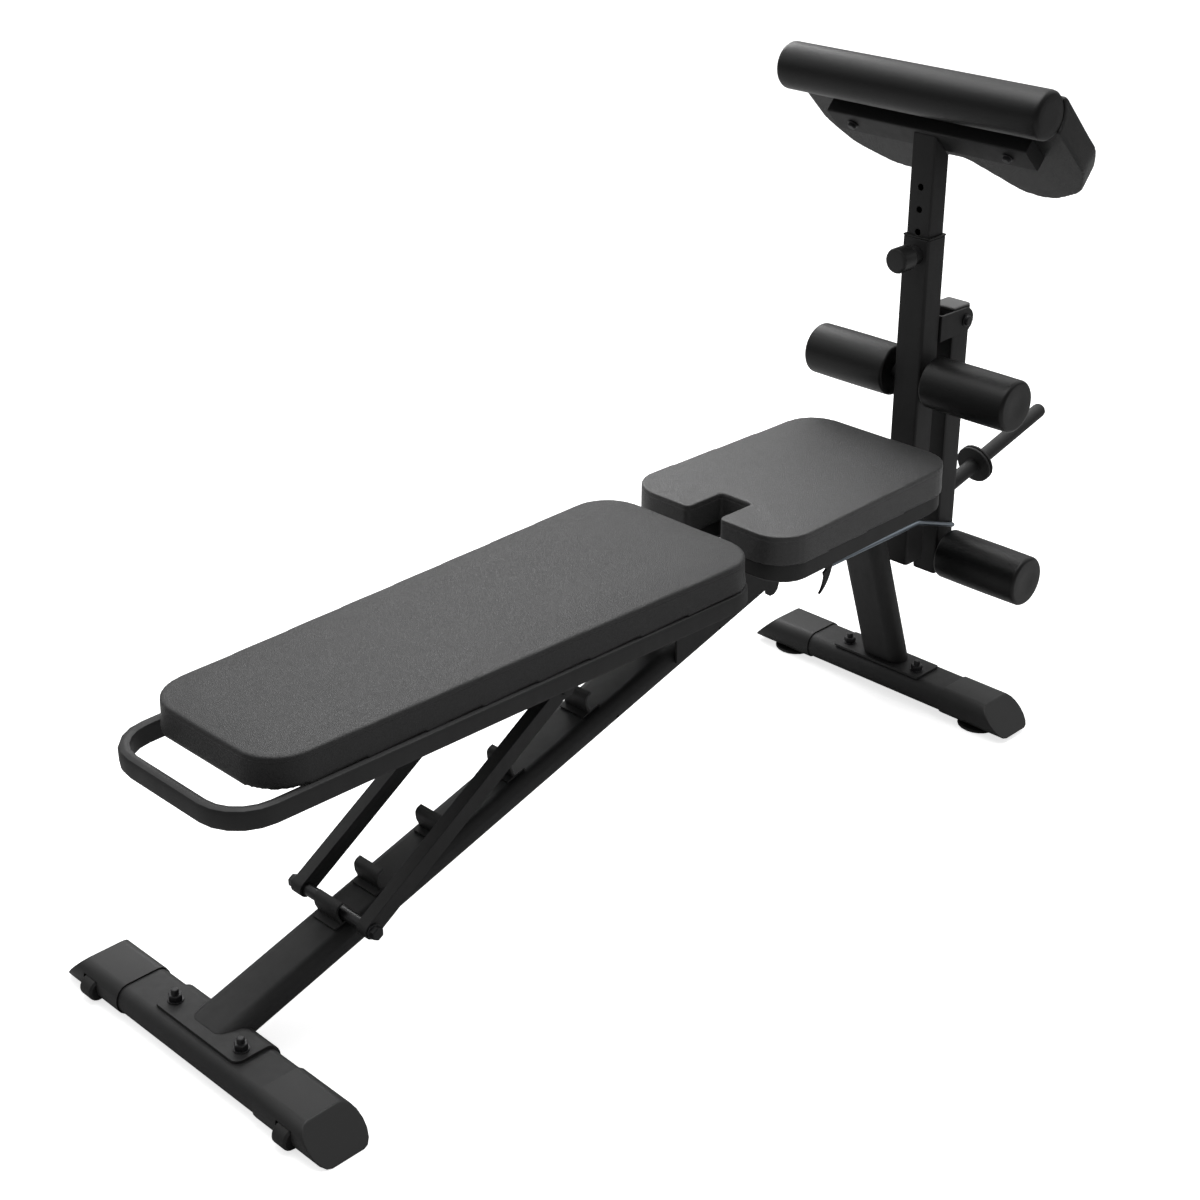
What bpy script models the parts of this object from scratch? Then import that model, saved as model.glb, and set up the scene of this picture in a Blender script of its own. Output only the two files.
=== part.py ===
"""Adjustable weight bench with a declining main beam, reclining back pad on a
ladder-and-strut support, tilting seat, leg-extension arm with foam rollers and
a height-adjustable arm-curl pad.

Frame: metres, +Z up, floor at z = 0.  X runs along the bench, from the
carrying handle (-X, called front) to the leg arm (+X, called rear).  Y runs
across it; pieces at +Y are named left, as seen looking towards +X.  The
frame is nearly symmetric about the XZ plane.

Stations below are measured from the -X face of the upright tube, with the
floor at GROUND; the whole bench is then moved by SHIFT_X and -GROUND, which
puts the middle of its length at x = 0 and the floor at z = 0.
Pairs such as pivots and centres are (x, z) unless noted.
"""

import math
from typing import NamedTuple

import bmesh
import bpy
from mathutils import Matrix, Vector

# ------------------------------------------------------------------ dimensions
SHIFT_X = 0.5207
GROUND = 0.0225
GAP = 0.0003  # clearance between neighbouring pieces
WALL = 0.002  # of the oval and square tubes
SMOOTH_ANGLE = 30.0  # degrees; sharper edges are shaded sharp

X_AXIS, Y_AXIS, Z_AXIS = (1, 0, 0), (0, 1, 0), (0, 0, 1)
SIDES = ((1, "left"), (-1, "right"))

# feet
FOOT_TUBE_W, FOOT_TUBE_H, FOOT_FLAT = 0.0816, 0.0416, 0.0484
FOOT_TUBE_HALF = 0.158  # half length of the foot tubes
FRONT_FOOT = (-1.391, 0.0456)
REAR_FOOT = (0.0008, 0.0535)
FRONT_BOLT = (FRONT_FOOT[0], 0.0703)  # (x, y)
REAR_BOLT = (-0.012, 0.0706)
BOLT_HOLE_R = 0.0053

# flat-oval frame members
BEAM_W, BEAM_H, BEAM_FLAT = 0.080, 0.0386, 0.044
BEAM_X0, BEAM_Z0, BEAM_RISE = -1.2, 0.1084, 0.2924  # axis z = Z0 + RISE (x - X0)
BEAM_FRONT_X = -1.450
RAIL_X = (-0.3197, -0.0003)
RAIL_Z = (0.3460, 0.3860)
POST_FOOT = (-0.0035, 0.0800)
POST_LEAN, POST_H = -0.3385, 0.040
SCREW_HOLE_R = 0.0032

# square tubes
UPRIGHT_W = 0.045  # along X
UPRIGHT_BORE = UPRIGHT_W - 2 * WALL
UPRIGHT_EXTRA = 0.005  # how much wider it is across, along Y
UPRIGHT_Z = (0.2505, 0.7985)
INNER_W = 0.038
INNER_Z0 = 0.700
HOLE_Z = [0.737 + 0.035 * i for i in range(5)]  # selector holes
PIN_Z = HOLE_Z[1]
ARM_MID_X = 0.107
ARM_Z = (0.209, 0.6665)
ARM_PIVOT = (0.1108, 0.6468)
LATCH_PIVOT = (0.1185, 0.288)

# rollers
ROLLER_R, ROLLER_Y = 0.0415, (0.0365, 0.1945)
ROLLER_BAR_R, ROLLER_BAR_HALF = 0.0125, 0.1820
UPPER_ROLLER = (0.0225, 0.5684)
LOWER_ROLLER = (0.1000, 0.2445)

# back pad and its support
BACK_PIVOT = (-0.560, 0.425)
STRUT_TOP = (-0.830, 0.367)
STRUT_FOOT = (-1.181, 0.1465)
BACK_X = (-1.3546, -0.5172)
BACK_HALF_W = (0.1303, 0.1584)  # at each end of BACK_X
BACK_Z = (0.4445, 0.4870)

# seat
SEAT_PIVOT = (-0.440, 0.398)
SEAT_X = (-0.4735, -0.0548)
SEAT_HALF_W = (0.1580, 0.1465)  # at each end of SEAT_X
SEAT_Z = (0.4433, 0.4880)
SEAT_SHELL_Z = (0.4140, 0.4430)
CATCH_BAR = (-0.2535, 0.3565)
PIVOT_HOLE_R = 0.0063  # in the back rail and the seat rack


# ------------------------------------------------------------------ materials
class Finish(NamedTuple):
    suffix: str
    colour: tuple
    roughness: float
    metallic: float = 0.0


COAT = Finish("powder_coat", colour=(0.013, 0.013, 0.014), roughness=0.52)
VINYL = Finish("pad_vinyl", colour=(0.018, 0.018, 0.019), roughness=0.58)
FOAM = Finish("roller_vinyl", colour=(0.010, 0.010, 0.011), roughness=0.40)
PLASTIC = Finish("black_plastic", colour=(0.015, 0.015, 0.016), roughness=0.48)
GREY = Finish("grey_plastic", colour=(0.20, 0.20, 0.205), roughness=0.5)
BOARD = Finish("pad_shell", colour=(0.014, 0.014, 0.015), roughness=0.6)
ZINC = Finish("zinc_steel", colour=(0.36, 0.42, 0.50), roughness=0.34, metallic=1.0)
BOLT = Finish("bolt_steel", colour=(0.020, 0.020, 0.021), roughness=0.38, metallic=0.6)
RUBBER = Finish("rubber", colour=(0.012, 0.012, 0.012), roughness=0.75)


def material(piece_name, finish):
    made = bpy.data.materials.new(piece_name + "_" + finish.suffix)
    made.use_nodes = True
    shader = made.node_tree.nodes["Principled BSDF"]
    shader.inputs["Base Color"].default_value = (*finish.colour, 1.0)
    shader.inputs["Roughness"].default_value = finish.roughness
    shader.inputs["Metallic"].default_value = finish.metallic
    made.diffuse_color = (*finish.colour, 1.0)
    return made


# ------------------------------------------------------------------ paths
def fillet(points, closed, steps):
    """Rounds each corner of a polyline. points are (position, radius)."""
    path = []
    count = len(points)
    for i, (point, radius) in enumerate(points):
        point = Vector(point)
        if (not closed and i in (0, count - 1)) or radius <= 0:
            path.append(point)
            continue
        before = (Vector(points[i - 1][0]) - point).normalized()
        after = (Vector(points[(i + 1) % count][0]) - point).normalized()
        half = before.angle(after) / 2
        centre = point + (before + after).normalized() * (radius / math.sin(half))
        reach = radius / math.tan(half)
        start = point + before * reach - centre
        end = point + after * reach - centre
        turn = start.angle(end)
        radial = start.normalized()
        side = (end - radial * end.dot(radial)).normalized()
        for j in range(steps + 1):
            angle = turn * j / steps
            path.append(centre + start * math.cos(angle) + side * (radius * math.sin(angle)))
    return path


def mirrored_path(half):
    """Continues (position, radius) points with their mirror image across y = 0."""
    return half + [((x, -y, z), radius) for (x, y, z), radius in reversed(half)]


def tangent(path, i):
    return (path[min(i + 1, len(path) - 1)] - path[max(i - 1, 0)]).normalized()


# ------------------------------------------------------------------ outlines
def corners(points, steps=5):
    """Closed 2-D outline of (first, second, radius) corners."""
    path = fillet([((x, y, 0.0), radius) for x, y, radius in points], True, steps)
    return [(p.x, p.y) for p in path]


def rounded(width, height, radius):
    x, y = width / 2, height / 2
    return corners([(-x, -y, radius), (x, -y, radius), (x, y, radius), (-x, y, radius)], 2)


def oval(width, height, flat):
    """Flat-sided oval: straight top and bottom, half-elliptic sides."""
    outline = []
    for side in (1, -1):
        for j in range(9):
            angle = math.pi * j / 8
            x = flat / 2 + (width - flat) / 2 * math.sin(angle)
            outline.append((side * x, side * -(height / 2) * math.cos(angle)))
    return outline


def tube_ovals(width, height, flat):
    """Outer and inner outline of an oval tube."""
    return oval(width, height, flat), oval(width - 2 * WALL, height - 2 * WALL, flat)


def square(width, radius, mid_x=UPRIGHT_W / 2, extra=UPRIGHT_EXTRA):
    """Rounded XY outline, longer by extra along Y."""
    return shifted(rounded(width, width + extra, radius), (mid_x, 0))


def shifted(outline, shift):
    return [(x + shift[0], z + shift[1]) for x, z in outline]


def polar(centre, radius, degrees):
    angle = math.radians(degrees)
    return (centre[0] + radius * math.cos(angle), centre[1] + radius * math.sin(angle))


def arc(centre, radius, start, end, steps=5):
    """Points on an arc, in degrees."""
    return [polar(centre, radius, start + (end - start) * j / steps) for j in range(steps + 1)]


def circle(radius, count):
    angles = [2 * math.pi * j / count for j in range(count)]
    return [(radius * math.cos(angle), radius * math.sin(angle)) for angle in angles]


def hexagon(across, count):
    """Hexagon drawn with count points, so that it skins to a circle."""
    outline = []
    for j in range(count):
        angle = 2 * math.pi * j / count
        off_flat = (angle + math.pi / 6) % (math.pi / 3) - math.pi / 6
        radius = across / 2 / math.cos(off_flat)
        outline.append((radius * math.cos(angle), radius * math.sin(angle)))
    return outline


# ------------------------------------------------------------------ shapes
class Shape(NamedTuple):
    """Rings of points to be skinned. closed joins the last ring to the first."""

    rings: list
    closed: bool = False


def mid(point, y=0):
    """An (x, z) place on the middle plane, or moved across by y."""
    return Vector((point[0], y, point[1]))


def y_rings(outline, *stations):
    return [[(x, y, z) for x, z in outline] for y in stations]


def z_rings(outline, *heights):
    return [[(x, y, z) for x, y in outline] for z in heights]


def hollow(outer, inner):
    """Open-ended tube between outer and inner rings."""
    return Shape(outer + inner[::-1], closed=True)


def prism_y(outline, y0, y1):
    return Shape(y_rings(outline, y0, y1))


def prism_z(outline, z0, z1):
    return Shape(z_rings(outline, z0, z1))


def box(x0, x1, y0, y1, z0, z1):
    return prism_z([(x0, y0), (x1, y0), (x1, y1), (x0, y1)], z0, z1)


def tube_z(outer, inner, z0, z1):
    return hollow(z_rings(outer, z0, z1), z_rings(inner, z0, z1))


def turned(centre, direction, profile, count=16, closed=False):
    """Body of revolution. profile is (distance along the axis, radius), or
    (distance, 'hex', width across flats) for a hexagonal station."""
    axis = Vector(direction).normalized()
    guide = Vector(Y_AXIS if abs(axis.y) < 0.5 else X_AXIS)
    first = (guide - axis * guide.dot(axis)).normalized()
    second = axis.cross(first)
    rings = []
    for station in profile:
        base = Vector(centre) + axis * station[0]
        if station[1] == 0:
            rings.append([base])
            continue
        if station[1] == "hex":
            outline = hexagon(station[2], count)
        else:
            outline = circle(station[1], count)
        rings.append([base + first * x + second * y for x, y in outline])
    return Shape(rings, closed)


def mirrored(half):
    """Profile symmetric about distance 0, from its positive half."""
    return [(-distance, *size) for distance, *size in reversed(half)] + half


def rod(centre, direction, start, end, radius, count=16):
    return turned(centre, direction, [(start, radius), (end, radius)], count)


def cross_rod(point, half, radius, count=16):
    """Rod along Y, from -half to +half."""
    return rod(mid(point), Y_AXIS, -half, half, radius, count)


def bolt_holes(place, z, top):
    """Upright holes at (x, +-y), from just below z up to top above it."""
    x, y = place
    return [rod((x, side * y, z), Z_AXIS, -0.008, top, BOLT_HOLE_R, 12) for side, _ in SIDES]


def sweep(path, section, first):
    """Rings of a section carried along a path, without twist."""
    rings = []
    first = Vector(first)
    for i, point in enumerate(path):
        ahead = tangent(path, i)
        first = (first - ahead * first.dot(ahead)).normalized()
        second = ahead.cross(first)
        rings.append([point + first * x + second * y for x, y in section])
    return rings


# ------------------------------------------------------------------ meshes
def skin(mesh, shape):
    """Skins a shape into mesh and returns its rings of vertices.
    One-point rings are tips."""
    made = [[mesh.verts.new(point) for point in ring] for ring in shape.rings]
    pairs = list(zip(made, made[1:]))
    if shape.closed:
        pairs.append((made[-1], made[0]))
    for low, high in pairs:
        count = max(len(low), len(high))
        for i in range(count):
            j = (i + 1) % count
            if len(low) == 1:
                mesh.faces.new((low[0], high[j], high[i]))
            elif len(high) == 1:
                mesh.faces.new((low[i], low[j], high[0]))
            else:
                mesh.faces.new((low[i], low[j], high[j], high[i]))
    if not shape.closed:
        if len(made[0]) > 1:
            mesh.faces.new(made[0][::-1])
        if len(made[-1]) > 1:
            mesh.faces.new(made[-1])
    return made


def face_on(mesh, ring):
    return [face for face in mesh.faces if set(face.verts) == set(ring)]


def bevel_rim(mesh, faces, width, steps):
    """Rounds the outside edges of flat faces."""
    bmesh.ops.bevel(
        mesh,
        geom=list({edge for face in faces for edge in face.edges}),
        offset=width,
        segments=steps,
        profile=0.5,
        affect="EDGES",
        clamp_overlap=True,
    )


# ------------------------------------------------------------------ objects
class Body:
    """An empty on a joint axis, carrying the pieces that turn about it."""

    def __init__(self, name, origin, parent=None):
        self.origin = Vector(origin)
        self.empty = bpy.data.objects.new(name, None)
        self.empty.empty_display_size = 0.05
        bpy.context.scene.collection.objects.link(self.empty)
        if parent is None:
            self.empty.location = self.origin + Vector((SHIFT_X, 0, -GROUND))
        else:
            self.empty.parent = parent.empty
            self.empty.location = self.origin - parent.origin

    def add(self, name, shapes, edit=None):
        """Mesh object made of shapes. edit(mesh, rings of the first shape)
        may rework the mesh before it is placed."""
        mesh = bmesh.new()
        rings = [skin(mesh, shape) for shape in shapes]
        if edit:
            edit(mesh, rings[0])
        bmesh.ops.recalc_face_normals(mesh, faces=mesh.faces)
        to_body = Matrix.Translation(-self.origin)
        bmesh.ops.transform(mesh, matrix=to_body, verts=mesh.verts)
        data = bpy.data.meshes.new(name)
        mesh.to_mesh(data)
        mesh.free()
        data.shade_smooth()
        data.set_sharp_from_angle(angle=math.radians(SMOOTH_ANGLE))
        made = bpy.data.objects.new(name, data)
        made.parent = self.empty
        bpy.context.scene.collection.objects.link(made)
        return made


class Piece:
    """A visible part of a body, with hidden helpers for its booleans."""

    def __init__(self, name, body, finish, *shapes, edit=None):
        self.body = body
        self.item = body.add(name, shapes, edit)
        self.item.data.materials.append(material(name, finish))

    def combine(self, operation, tag, shapes):
        helper = self.body.add(self.item.name + "_" + tag, shapes)
        helper.hide_render = True
        helper.display_type = "WIRE"
        modifier = self.item.modifiers.new(tag, "BOOLEAN")
        modifier.operation = operation
        modifier.object = helper

    def cut(self, *shapes, tag="cutter"):
        self.combine("DIFFERENCE", tag, shapes)

    def join(self, *shapes, tag):
        self.combine("UNION", tag, shapes)


def plate_pair(name, body, outline, y0, y1, far_tag):
    """Coated plate at +Y, joined by its mirror image at -Y."""
    plates = Piece(name, body, COAT, prism_y(outline, y0, y1))
    plates.join(prism_y(outline, -y1, -y0), tag=far_tag)
    return plates


# ------------------------------------------------------------------ start empty
for old in list(bpy.data.objects):
    bpy.data.objects.remove(old, do_unlink=True)

# ------------------------------------------------------------------ bodies
frame = Body("frame_root", (0, 0, 0))
back = Body("back_pivot", mid(BACK_PIVOT), frame)
strut = Body("strut_pivot", mid(STRUT_TOP), back)
seat = Body("seat_pivot", mid(SEAT_PIVOT), frame)
curl = Body("curl_pad_slide", (UPRIGHT_W / 2, 0, PIN_Z), frame)
pin = Body("pull_pin_slide", (0, 0, PIN_Z), frame)
arm = Body("arm_pivot", mid(ARM_PIVOT), frame)
latch = Body("latch_pivot", mid(LATCH_PIVOT), arm)

# ------------------------------------------------------------------ feet
CAP_W, CAP_H = 0.0862, 0.0462
CAP_SOCKET = 0.1600  # y of the bottom of the socket in each cap
FRONT_CAP_Y = (0.1457, 0.2316, 0.2777)  # inner end, outer end top, outer end bottom
REAR_CAP_Y = (0.1382, 0.2190, 0.2643)

WHEEL, WHEEL_R = (-1.4273, 0.0393), 0.016
WHEEL_Y = (0.1935, 0.2207)
POCKET_Y = (WHEEL_Y[0] - 0.0015, WHEEL_Y[1] + 0.0015)
AXLE_R, AXLE_STUB = 0.0030, 0.0068
AXLE_HOLE_R, AXLE_HOLE_DEPTH = 0.0034, 0.0070
POCKET_R = WHEEL_R + 0.0016
POCKET_FLOOR = -0.02  # below the cap, so the pocket is open

LEVEL_X, LEVEL_Y, LEVEL_R, LEVEL_H = -0.0047, 0.1948, 0.034, 0.0048


def foot_tube(name, centre, bolt):
    outer, inner = tube_ovals(FOOT_TUBE_W, FOOT_TUBE_H, FOOT_FLAT)
    ends = (-FOOT_TUBE_HALF, FOOT_TUBE_HALF)
    shape = hollow(
        y_rings(shifted(outer, centre), *ends), y_rings(shifted(inner, centre), *ends)
    )
    tube = Piece(name, frame, COAT, shape)
    tube.cut(*bolt_holes(bolt, centre[1] + FOOT_TUBE_H / 2, 0.008))


def foot_cap(name, centre, ends, side):
    """Plastic end cap: a socket over the tube and a solid slanted nose."""
    inner_end, top_end, bottom_end = ends
    outline = shifted(oval(CAP_W, CAP_H, FOOT_FLAT), centre)
    slope = (bottom_end - top_end) / CAP_H
    top_z = centre[1] + CAP_H / 2
    nose = [(x, top_end + slope * (top_z - z), z) for x, z in outline]

    def round_nose(mesh, rings):
        bevel_rim(mesh, face_on(mesh, rings[1]), 0.0016, 2)
        to_side = Matrix.Diagonal((1, side, 1, 1))
        bmesh.ops.transform(mesh, matrix=to_side, verts=mesh.verts)

    shape = Shape(y_rings(outline, inner_end) + [nose])
    cap = Piece(name, frame, PLASTIC, shape, edit=round_nose)
    socket = oval(FOOT_TUBE_W + 2 * GAP, FOOT_TUBE_H + 2 * GAP, FOOT_FLAT)
    cap.cut(
        prism_y(shifted(socket, centre), side * (inner_end - 0.02), side * CAP_SOCKET),
        tag="socket",
    )
    return cap


def front_cap(side, word):
    """Cap with a pocket, open below, for the transport wheel."""
    cap = foot_cap("front_cap_" + word, FRONT_FOOT, FRONT_CAP_Y, side)
    x, z = WHEEL
    pocket = [(x - 0.03, POCKET_FLOOR), (x - 0.03, z + 0.013)]
    pocket += arc(WHEEL, POCKET_R, 80, 0, 6)
    pocket += [(x + POCKET_R, POCKET_FLOOR)]
    y0, y1 = POCKET_Y
    cap.cut(prism_y(pocket, side * y0, side * y1), tag="pocket")
    axle_hole = rod(
        mid(WHEEL), (0, side, 0), y0 - AXLE_HOLE_DEPTH, y1 + AXLE_HOLE_DEPTH, AXLE_HOLE_R, 14
    )
    cap.cut(axle_hole, tag="axle_holes")


def rear_cap(side, word):
    cap = foot_cap("rear_cap_" + word, REAR_FOOT, REAR_CAP_Y, side)
    stud_hole = rod((LEVEL_X, side * LEVEL_Y, GROUND), Z_AXIS, -0.01, 0.0330, 0.0053)
    cap.cut(stud_hole, tag="stud_hole")


def wheel(side, word):
    """Transport wheel with its axle stubs."""
    y0, y1 = WHEEL_Y
    body = Body("wheel_axle_" + word, mid(WHEEL, side * (y0 + y1) / 2), frame)
    profile = [
        (y0 - AXLE_STUB, AXLE_R), (y0, AXLE_R),
        (y0, WHEEL_R - 0.003), (y0 + 0.0032, WHEEL_R),
        (y1 - 0.0032, WHEEL_R), (y1, WHEEL_R - 0.003),
        (y1, AXLE_R), (y1 + AXLE_STUB, AXLE_R),
    ]
    Piece("wheel_" + word, body, RUBBER, turned(mid(WHEEL), (0, side, 0), profile, 20))


def levelling_foot(side, word):
    """Round foot on the floor with its stud."""
    origin = (LEVEL_X, side * LEVEL_Y, GROUND)
    body = Body("levelling_screw_" + word, origin, frame)
    profile = [
        (0, LEVEL_R - 0.002), (0.0015, LEVEL_R),
        (LEVEL_H - 0.0015, LEVEL_R), (LEVEL_H, LEVEL_R - 0.0015),
        (LEVEL_H, 0.0050), (0.0315, 0.0050),
    ]
    Piece("levelling_foot_" + word, body, RUBBER, turned(origin, Z_AXIS, profile, 20))


foot_tube("front_foot_tube", FRONT_FOOT, FRONT_BOLT)
foot_tube("rear_foot_tube", REAR_FOOT, REAR_BOLT)
for side, word in SIDES:
    front_cap(side, word)
    rear_cap(side, word)
    wheel(side, word)
    levelling_foot(side, word)

# ------------------------------------------------------------------ foot plates
PLATE_T = 0.004
SADDLE_X0, SADDLE_HALF, SADDLE_CORNER = -1.4135, 0.089, 0.012
SADDLE_WRAP = 115.0  # degrees round the foot tube
SADDLE_Z = FRONT_FOOT[1] + FOOT_TUBE_H / 2 + GAP
SADDLE_TOP = SADDLE_Z + PLATE_T
REAR_TUBE_TOP = REAR_FOOT[1] + FOOT_TUBE_H / 2
BASE_Z = (REAR_TUBE_TOP + GAP, REAR_TUBE_TOP + GAP + PLATE_T)
BASE_X, BASE_HALF, BASE_CORNER = (-0.0335, 0.0255), 0.088, 0.004


def front_tube_skin(lift, degrees):
    """Point lifted off the front foot tube's outline, turning from the end
    of its flat top (0) round its +X side."""
    half_x, half_z = (FOOT_TUBE_W - FOOT_FLAT) / 2, FOOT_TUBE_H / 2
    angle = math.radians(degrees)
    normal = Vector((math.sin(angle) / half_x, math.cos(angle) / half_z)).normalized()
    return (
        FRONT_FOOT[0] + FOOT_FLAT / 2 + half_x * math.sin(angle) + normal.x * lift,
        FRONT_FOOT[1] + half_z * math.cos(angle) + normal.y * lift,
    )


def saddle_ring(low, high, half):
    (x0, z0), (x1, z1) = low, high
    return [(x0, -half, z0), (x0, half, z0), (x1, half, z1), (x1, -half, z1)]


def front_saddle():
    """Plate on the front foot tube, wrapped down its +X side."""
    rings = []
    for j in range(6):  # rounded corners at the -X edge
        angle = math.pi / 2 * j / 5
        x = SADDLE_X0 + SADDLE_CORNER * (1 - math.cos(angle))
        half = SADDLE_HALF - SADDLE_CORNER * (1 - math.sin(angle))
        rings.append(saddle_ring((x, SADDLE_Z), (x, SADDLE_TOP), half))
    for j in range(9):
        turn = SADDLE_WRAP * j / 8
        low = front_tube_skin(GAP, turn)
        high = front_tube_skin(GAP + PLATE_T, turn)
        rings.append(saddle_ring(low, high, SADDLE_HALF))
    saddle = Piece("front_saddle_plate", frame, COAT, Shape(rings))
    saddle.cut(*bolt_holes(FRONT_BOLT, SADDLE_Z, 0.012))


def rear_base():
    x0, x1 = BASE_X
    outline = corners(
        [
            (x0, -BASE_HALF, BASE_CORNER),
            (x1, -BASE_HALF, BASE_CORNER),
            (x1, BASE_HALF, BASE_CORNER),
            (x0, BASE_HALF, BASE_CORNER),
        ]
    )
    base = Piece("rear_base_plate", frame, COAT, prism_z(outline, *BASE_Z))
    base.cut(*bolt_holes(REAR_BOLT, REAR_TUBE_TOP, 0.012))


# shank through plate and tube wall, washer, hexagon nut and stud end
FOOT_BOLT_PROFILE = [
    (-0.0105, 0.0050), (0, 0.0050), (0, 0.0110), (0.0015, 0.0110),
    (0.0015, "hex", 0.0155), (0.0022, "hex", 0.0170),
    (0.0088, "hex", 0.0170), (0.0098, "hex", 0.0150),
    (0.0098, 0.0052), (0.0158, 0.0052), (0.0170, 0.0042),
]

front_saddle()
rear_base()
for side, word in SIDES:
    for name, (x, y), z in (
        ("front_bolt_", FRONT_BOLT, SADDLE_TOP + GAP),
        ("rear_bolt_", REAR_BOLT, BASE_Z[1] + GAP),
    ):
        shape = turned((x, side * y, z), Z_AXIS, FOOT_BOLT_PROFILE, 12)
        Piece(name + word, frame, BOLT, shape)

# ------------------------------------------------------------------ main beam
beam_along = Vector((1, 0, BEAM_RISE)).normalized()
beam_normal = Vector((-beam_along.z, 0, beam_along.x))
beam_point = (BEAM_X0, BEAM_Z0)


def beam_z(x):
    return BEAM_Z0 + BEAM_RISE * (x - BEAM_X0)


def frame_tube(point, direction, height, axis, planes):
    """Oval tube in the middle plane through an (x, z) point. Its ends lie on
    two planes across the axis, 0 for x or 2 for z."""
    along = Vector(direction).normalized()
    normal = Vector((-along.z, 0, along.x))

    def rings(outline):
        bases = [mid(point, y) + normal * off for y, off in outline]
        return [
            [base + along * ((plane - base[axis]) / along[axis]) for base in bases]
            for plane in planes
        ]

    outer, inner = tube_ovals(BEAM_W, height, BEAM_FLAT)
    return hollow(rings(outer), rings(inner))


def main_beam():
    planes = (BEAM_FRONT_X, RAIL_X[0] - GAP)
    beam = Piece(
        "main_beam", frame, COAT, frame_tube(beam_point, beam_along, BEAM_H, 0, planes)
    )
    # coped round the saddle plate
    front_x, low_z = -1.56, -0.20
    cope = [(front_x, low_z), (FRONT_FOOT[0] + FOOT_FLAT / 2, low_z)]
    cope += [front_tube_skin(2 * GAP + PLATE_T, 180.0 - 15.0 * j) for j in range(13)]
    cope += [(front_x, SADDLE_TOP + GAP)]
    beam.cut(prism_y(cope, -0.06, 0.06), tag="cope")
    # through the wall at -Y only
    holes = [
        rod((x, 0, beam_z(x) - 0.008), (0, -1, 0), 0.030, 0.050, SCREW_HOLE_R, 12)
        for x in (-0.6896, -0.4739)
    ]
    beam.cut(*holes, tag="screw_holes")


# ladder hooks: a base strip with a C-shaped lip, open towards +X.
# Their outline is (distance along the beam, height above its top).
HOOK_STATIONS = [0.0067, 0.0787, 0.1920, 0.3300, 0.4826]
HOOK_ZERO_X = -0.0054  # start of the stations, from BEAM_X0
HOOK_HALF_W = 0.0235
HOOK_BASE = (0.004, 0.037)  # ends of the strip
HOOK_BASE_TOP = 0.0033
LIP_HALF_T = 0.0015
LIP_CENTRELINE = [  # (along, height, 0), corner radius
    ((0.0170, 0.0010, 0), 0),
    ((0.0148, 0.0160, 0), 0.020),
    ((0.0175, 0.0300, 0), 0.0070),
    ((0.0285, 0.0305, 0), 0),
]


def on_beam(along, height):
    point = mid(beam_point) + Vector((1, 0, BEAM_RISE)) * HOOK_ZERO_X
    point += beam_along * along + beam_normal * (BEAM_H / 2 + height)
    return (point.x, point.z)


def hook_outline():
    lip = fillet(LIP_CENTRELINE, False, 4)
    rear, front = [], []  # faces towards +X and -X
    for i, point in enumerate(lip):
        ahead = tangent(lip, i)
        offset = Vector((ahead.y, -ahead.x, 0)) * LIP_HALF_T
        rear.append(point + offset)
        front.append(point - offset)
    start, end = HOOK_BASE
    outline = [(start, GAP), (end, GAP), (end, HOOK_BASE_TOP)]
    outline += [(rear[0].x + 0.0002, HOOK_BASE_TOP)]
    outline += [(p.x, p.y) for p in rear[1:] + front[:0:-1]]
    outline += [(front[0].x - 0.0004, HOOK_BASE_TOP), (start, HOOK_BASE_TOP)]
    return outline


main_beam()
hook = hook_outline()
for number, station in enumerate(HOOK_STATIONS, 1):
    placed = [on_beam(station + along, height) for along, height in hook]
    shape = prism_y(placed, -HOOK_HALF_W, HOOK_HALF_W)
    Piece("ladder_hook_%d" % number, frame, COAT, shape)

# ------------------------------------------------------------------ rail, post
rail_point = (RAIL_X[0], sum(RAIL_Z) / 2)
rail = Piece(
    "seat_rail",
    frame,
    COAT,
    frame_tube(rail_point, X_AXIS, RAIL_Z[1] - RAIL_Z[0], 0, RAIL_X),
)
rail.cut(cross_rod(CATCH_BAR, 0.06, 0.0043))

post_planes = (BASE_Z[1] + GAP, RAIL_Z[0] - GAP)
post = Piece(
    "rear_post",
    frame,
    COAT,
    frame_tube(POST_FOOT, (POST_LEAN, 0, 1), POST_H, 2, post_planes),
)
post.cut(rod((-0.0030, 0, 0.1087), (0, -1, 0), 0.025, 0.050, SCREW_HOLE_R, 12))

Piece("seat_catch_bar", frame, BOLT, cross_rod(CATCH_BAR, 0.058, 0.0040))

# ------------------------------------------------------------------ pivot bracket
BRACKET_EAR_R = 0.0135
BRACKET_Y = (0.0405, 0.0445)
# halves of the pin profiles: (y, radius)
BACK_PIN_HALF = [(0.0425, 0.0060), (0.0425, 0.0100), (0.0450, 0.0100), (0.0480, 0.0085)]
SEAT_PIN_HALF = [(0.0560, 0.0060), (0.0560, 0.0100), (0.0605, 0.0085)]


def cheek_outline():
    """Cheek from the beam up to an ear round each of the two pivots."""
    low = [(x, beam_z(x) + 0.002) for x in (BACK_PIVOT[0] - BRACKET_EAR_R, -0.390)]
    return (
        low
        + arc((-0.363, 0.345), 0.015, 180, 360)
        + [(-0.348, 0.372), (-0.362, 0.380)]
        + arc(SEAT_PIVOT, BRACKET_EAR_R, 10, 165)
        + [(-0.4700, 0.3560), (-0.4950, 0.3430), (-0.5250, 0.3430), (-0.5465, 0.3620)]
        + arc(BACK_PIVOT, BRACKET_EAR_R, 0, 180)
    )


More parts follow.
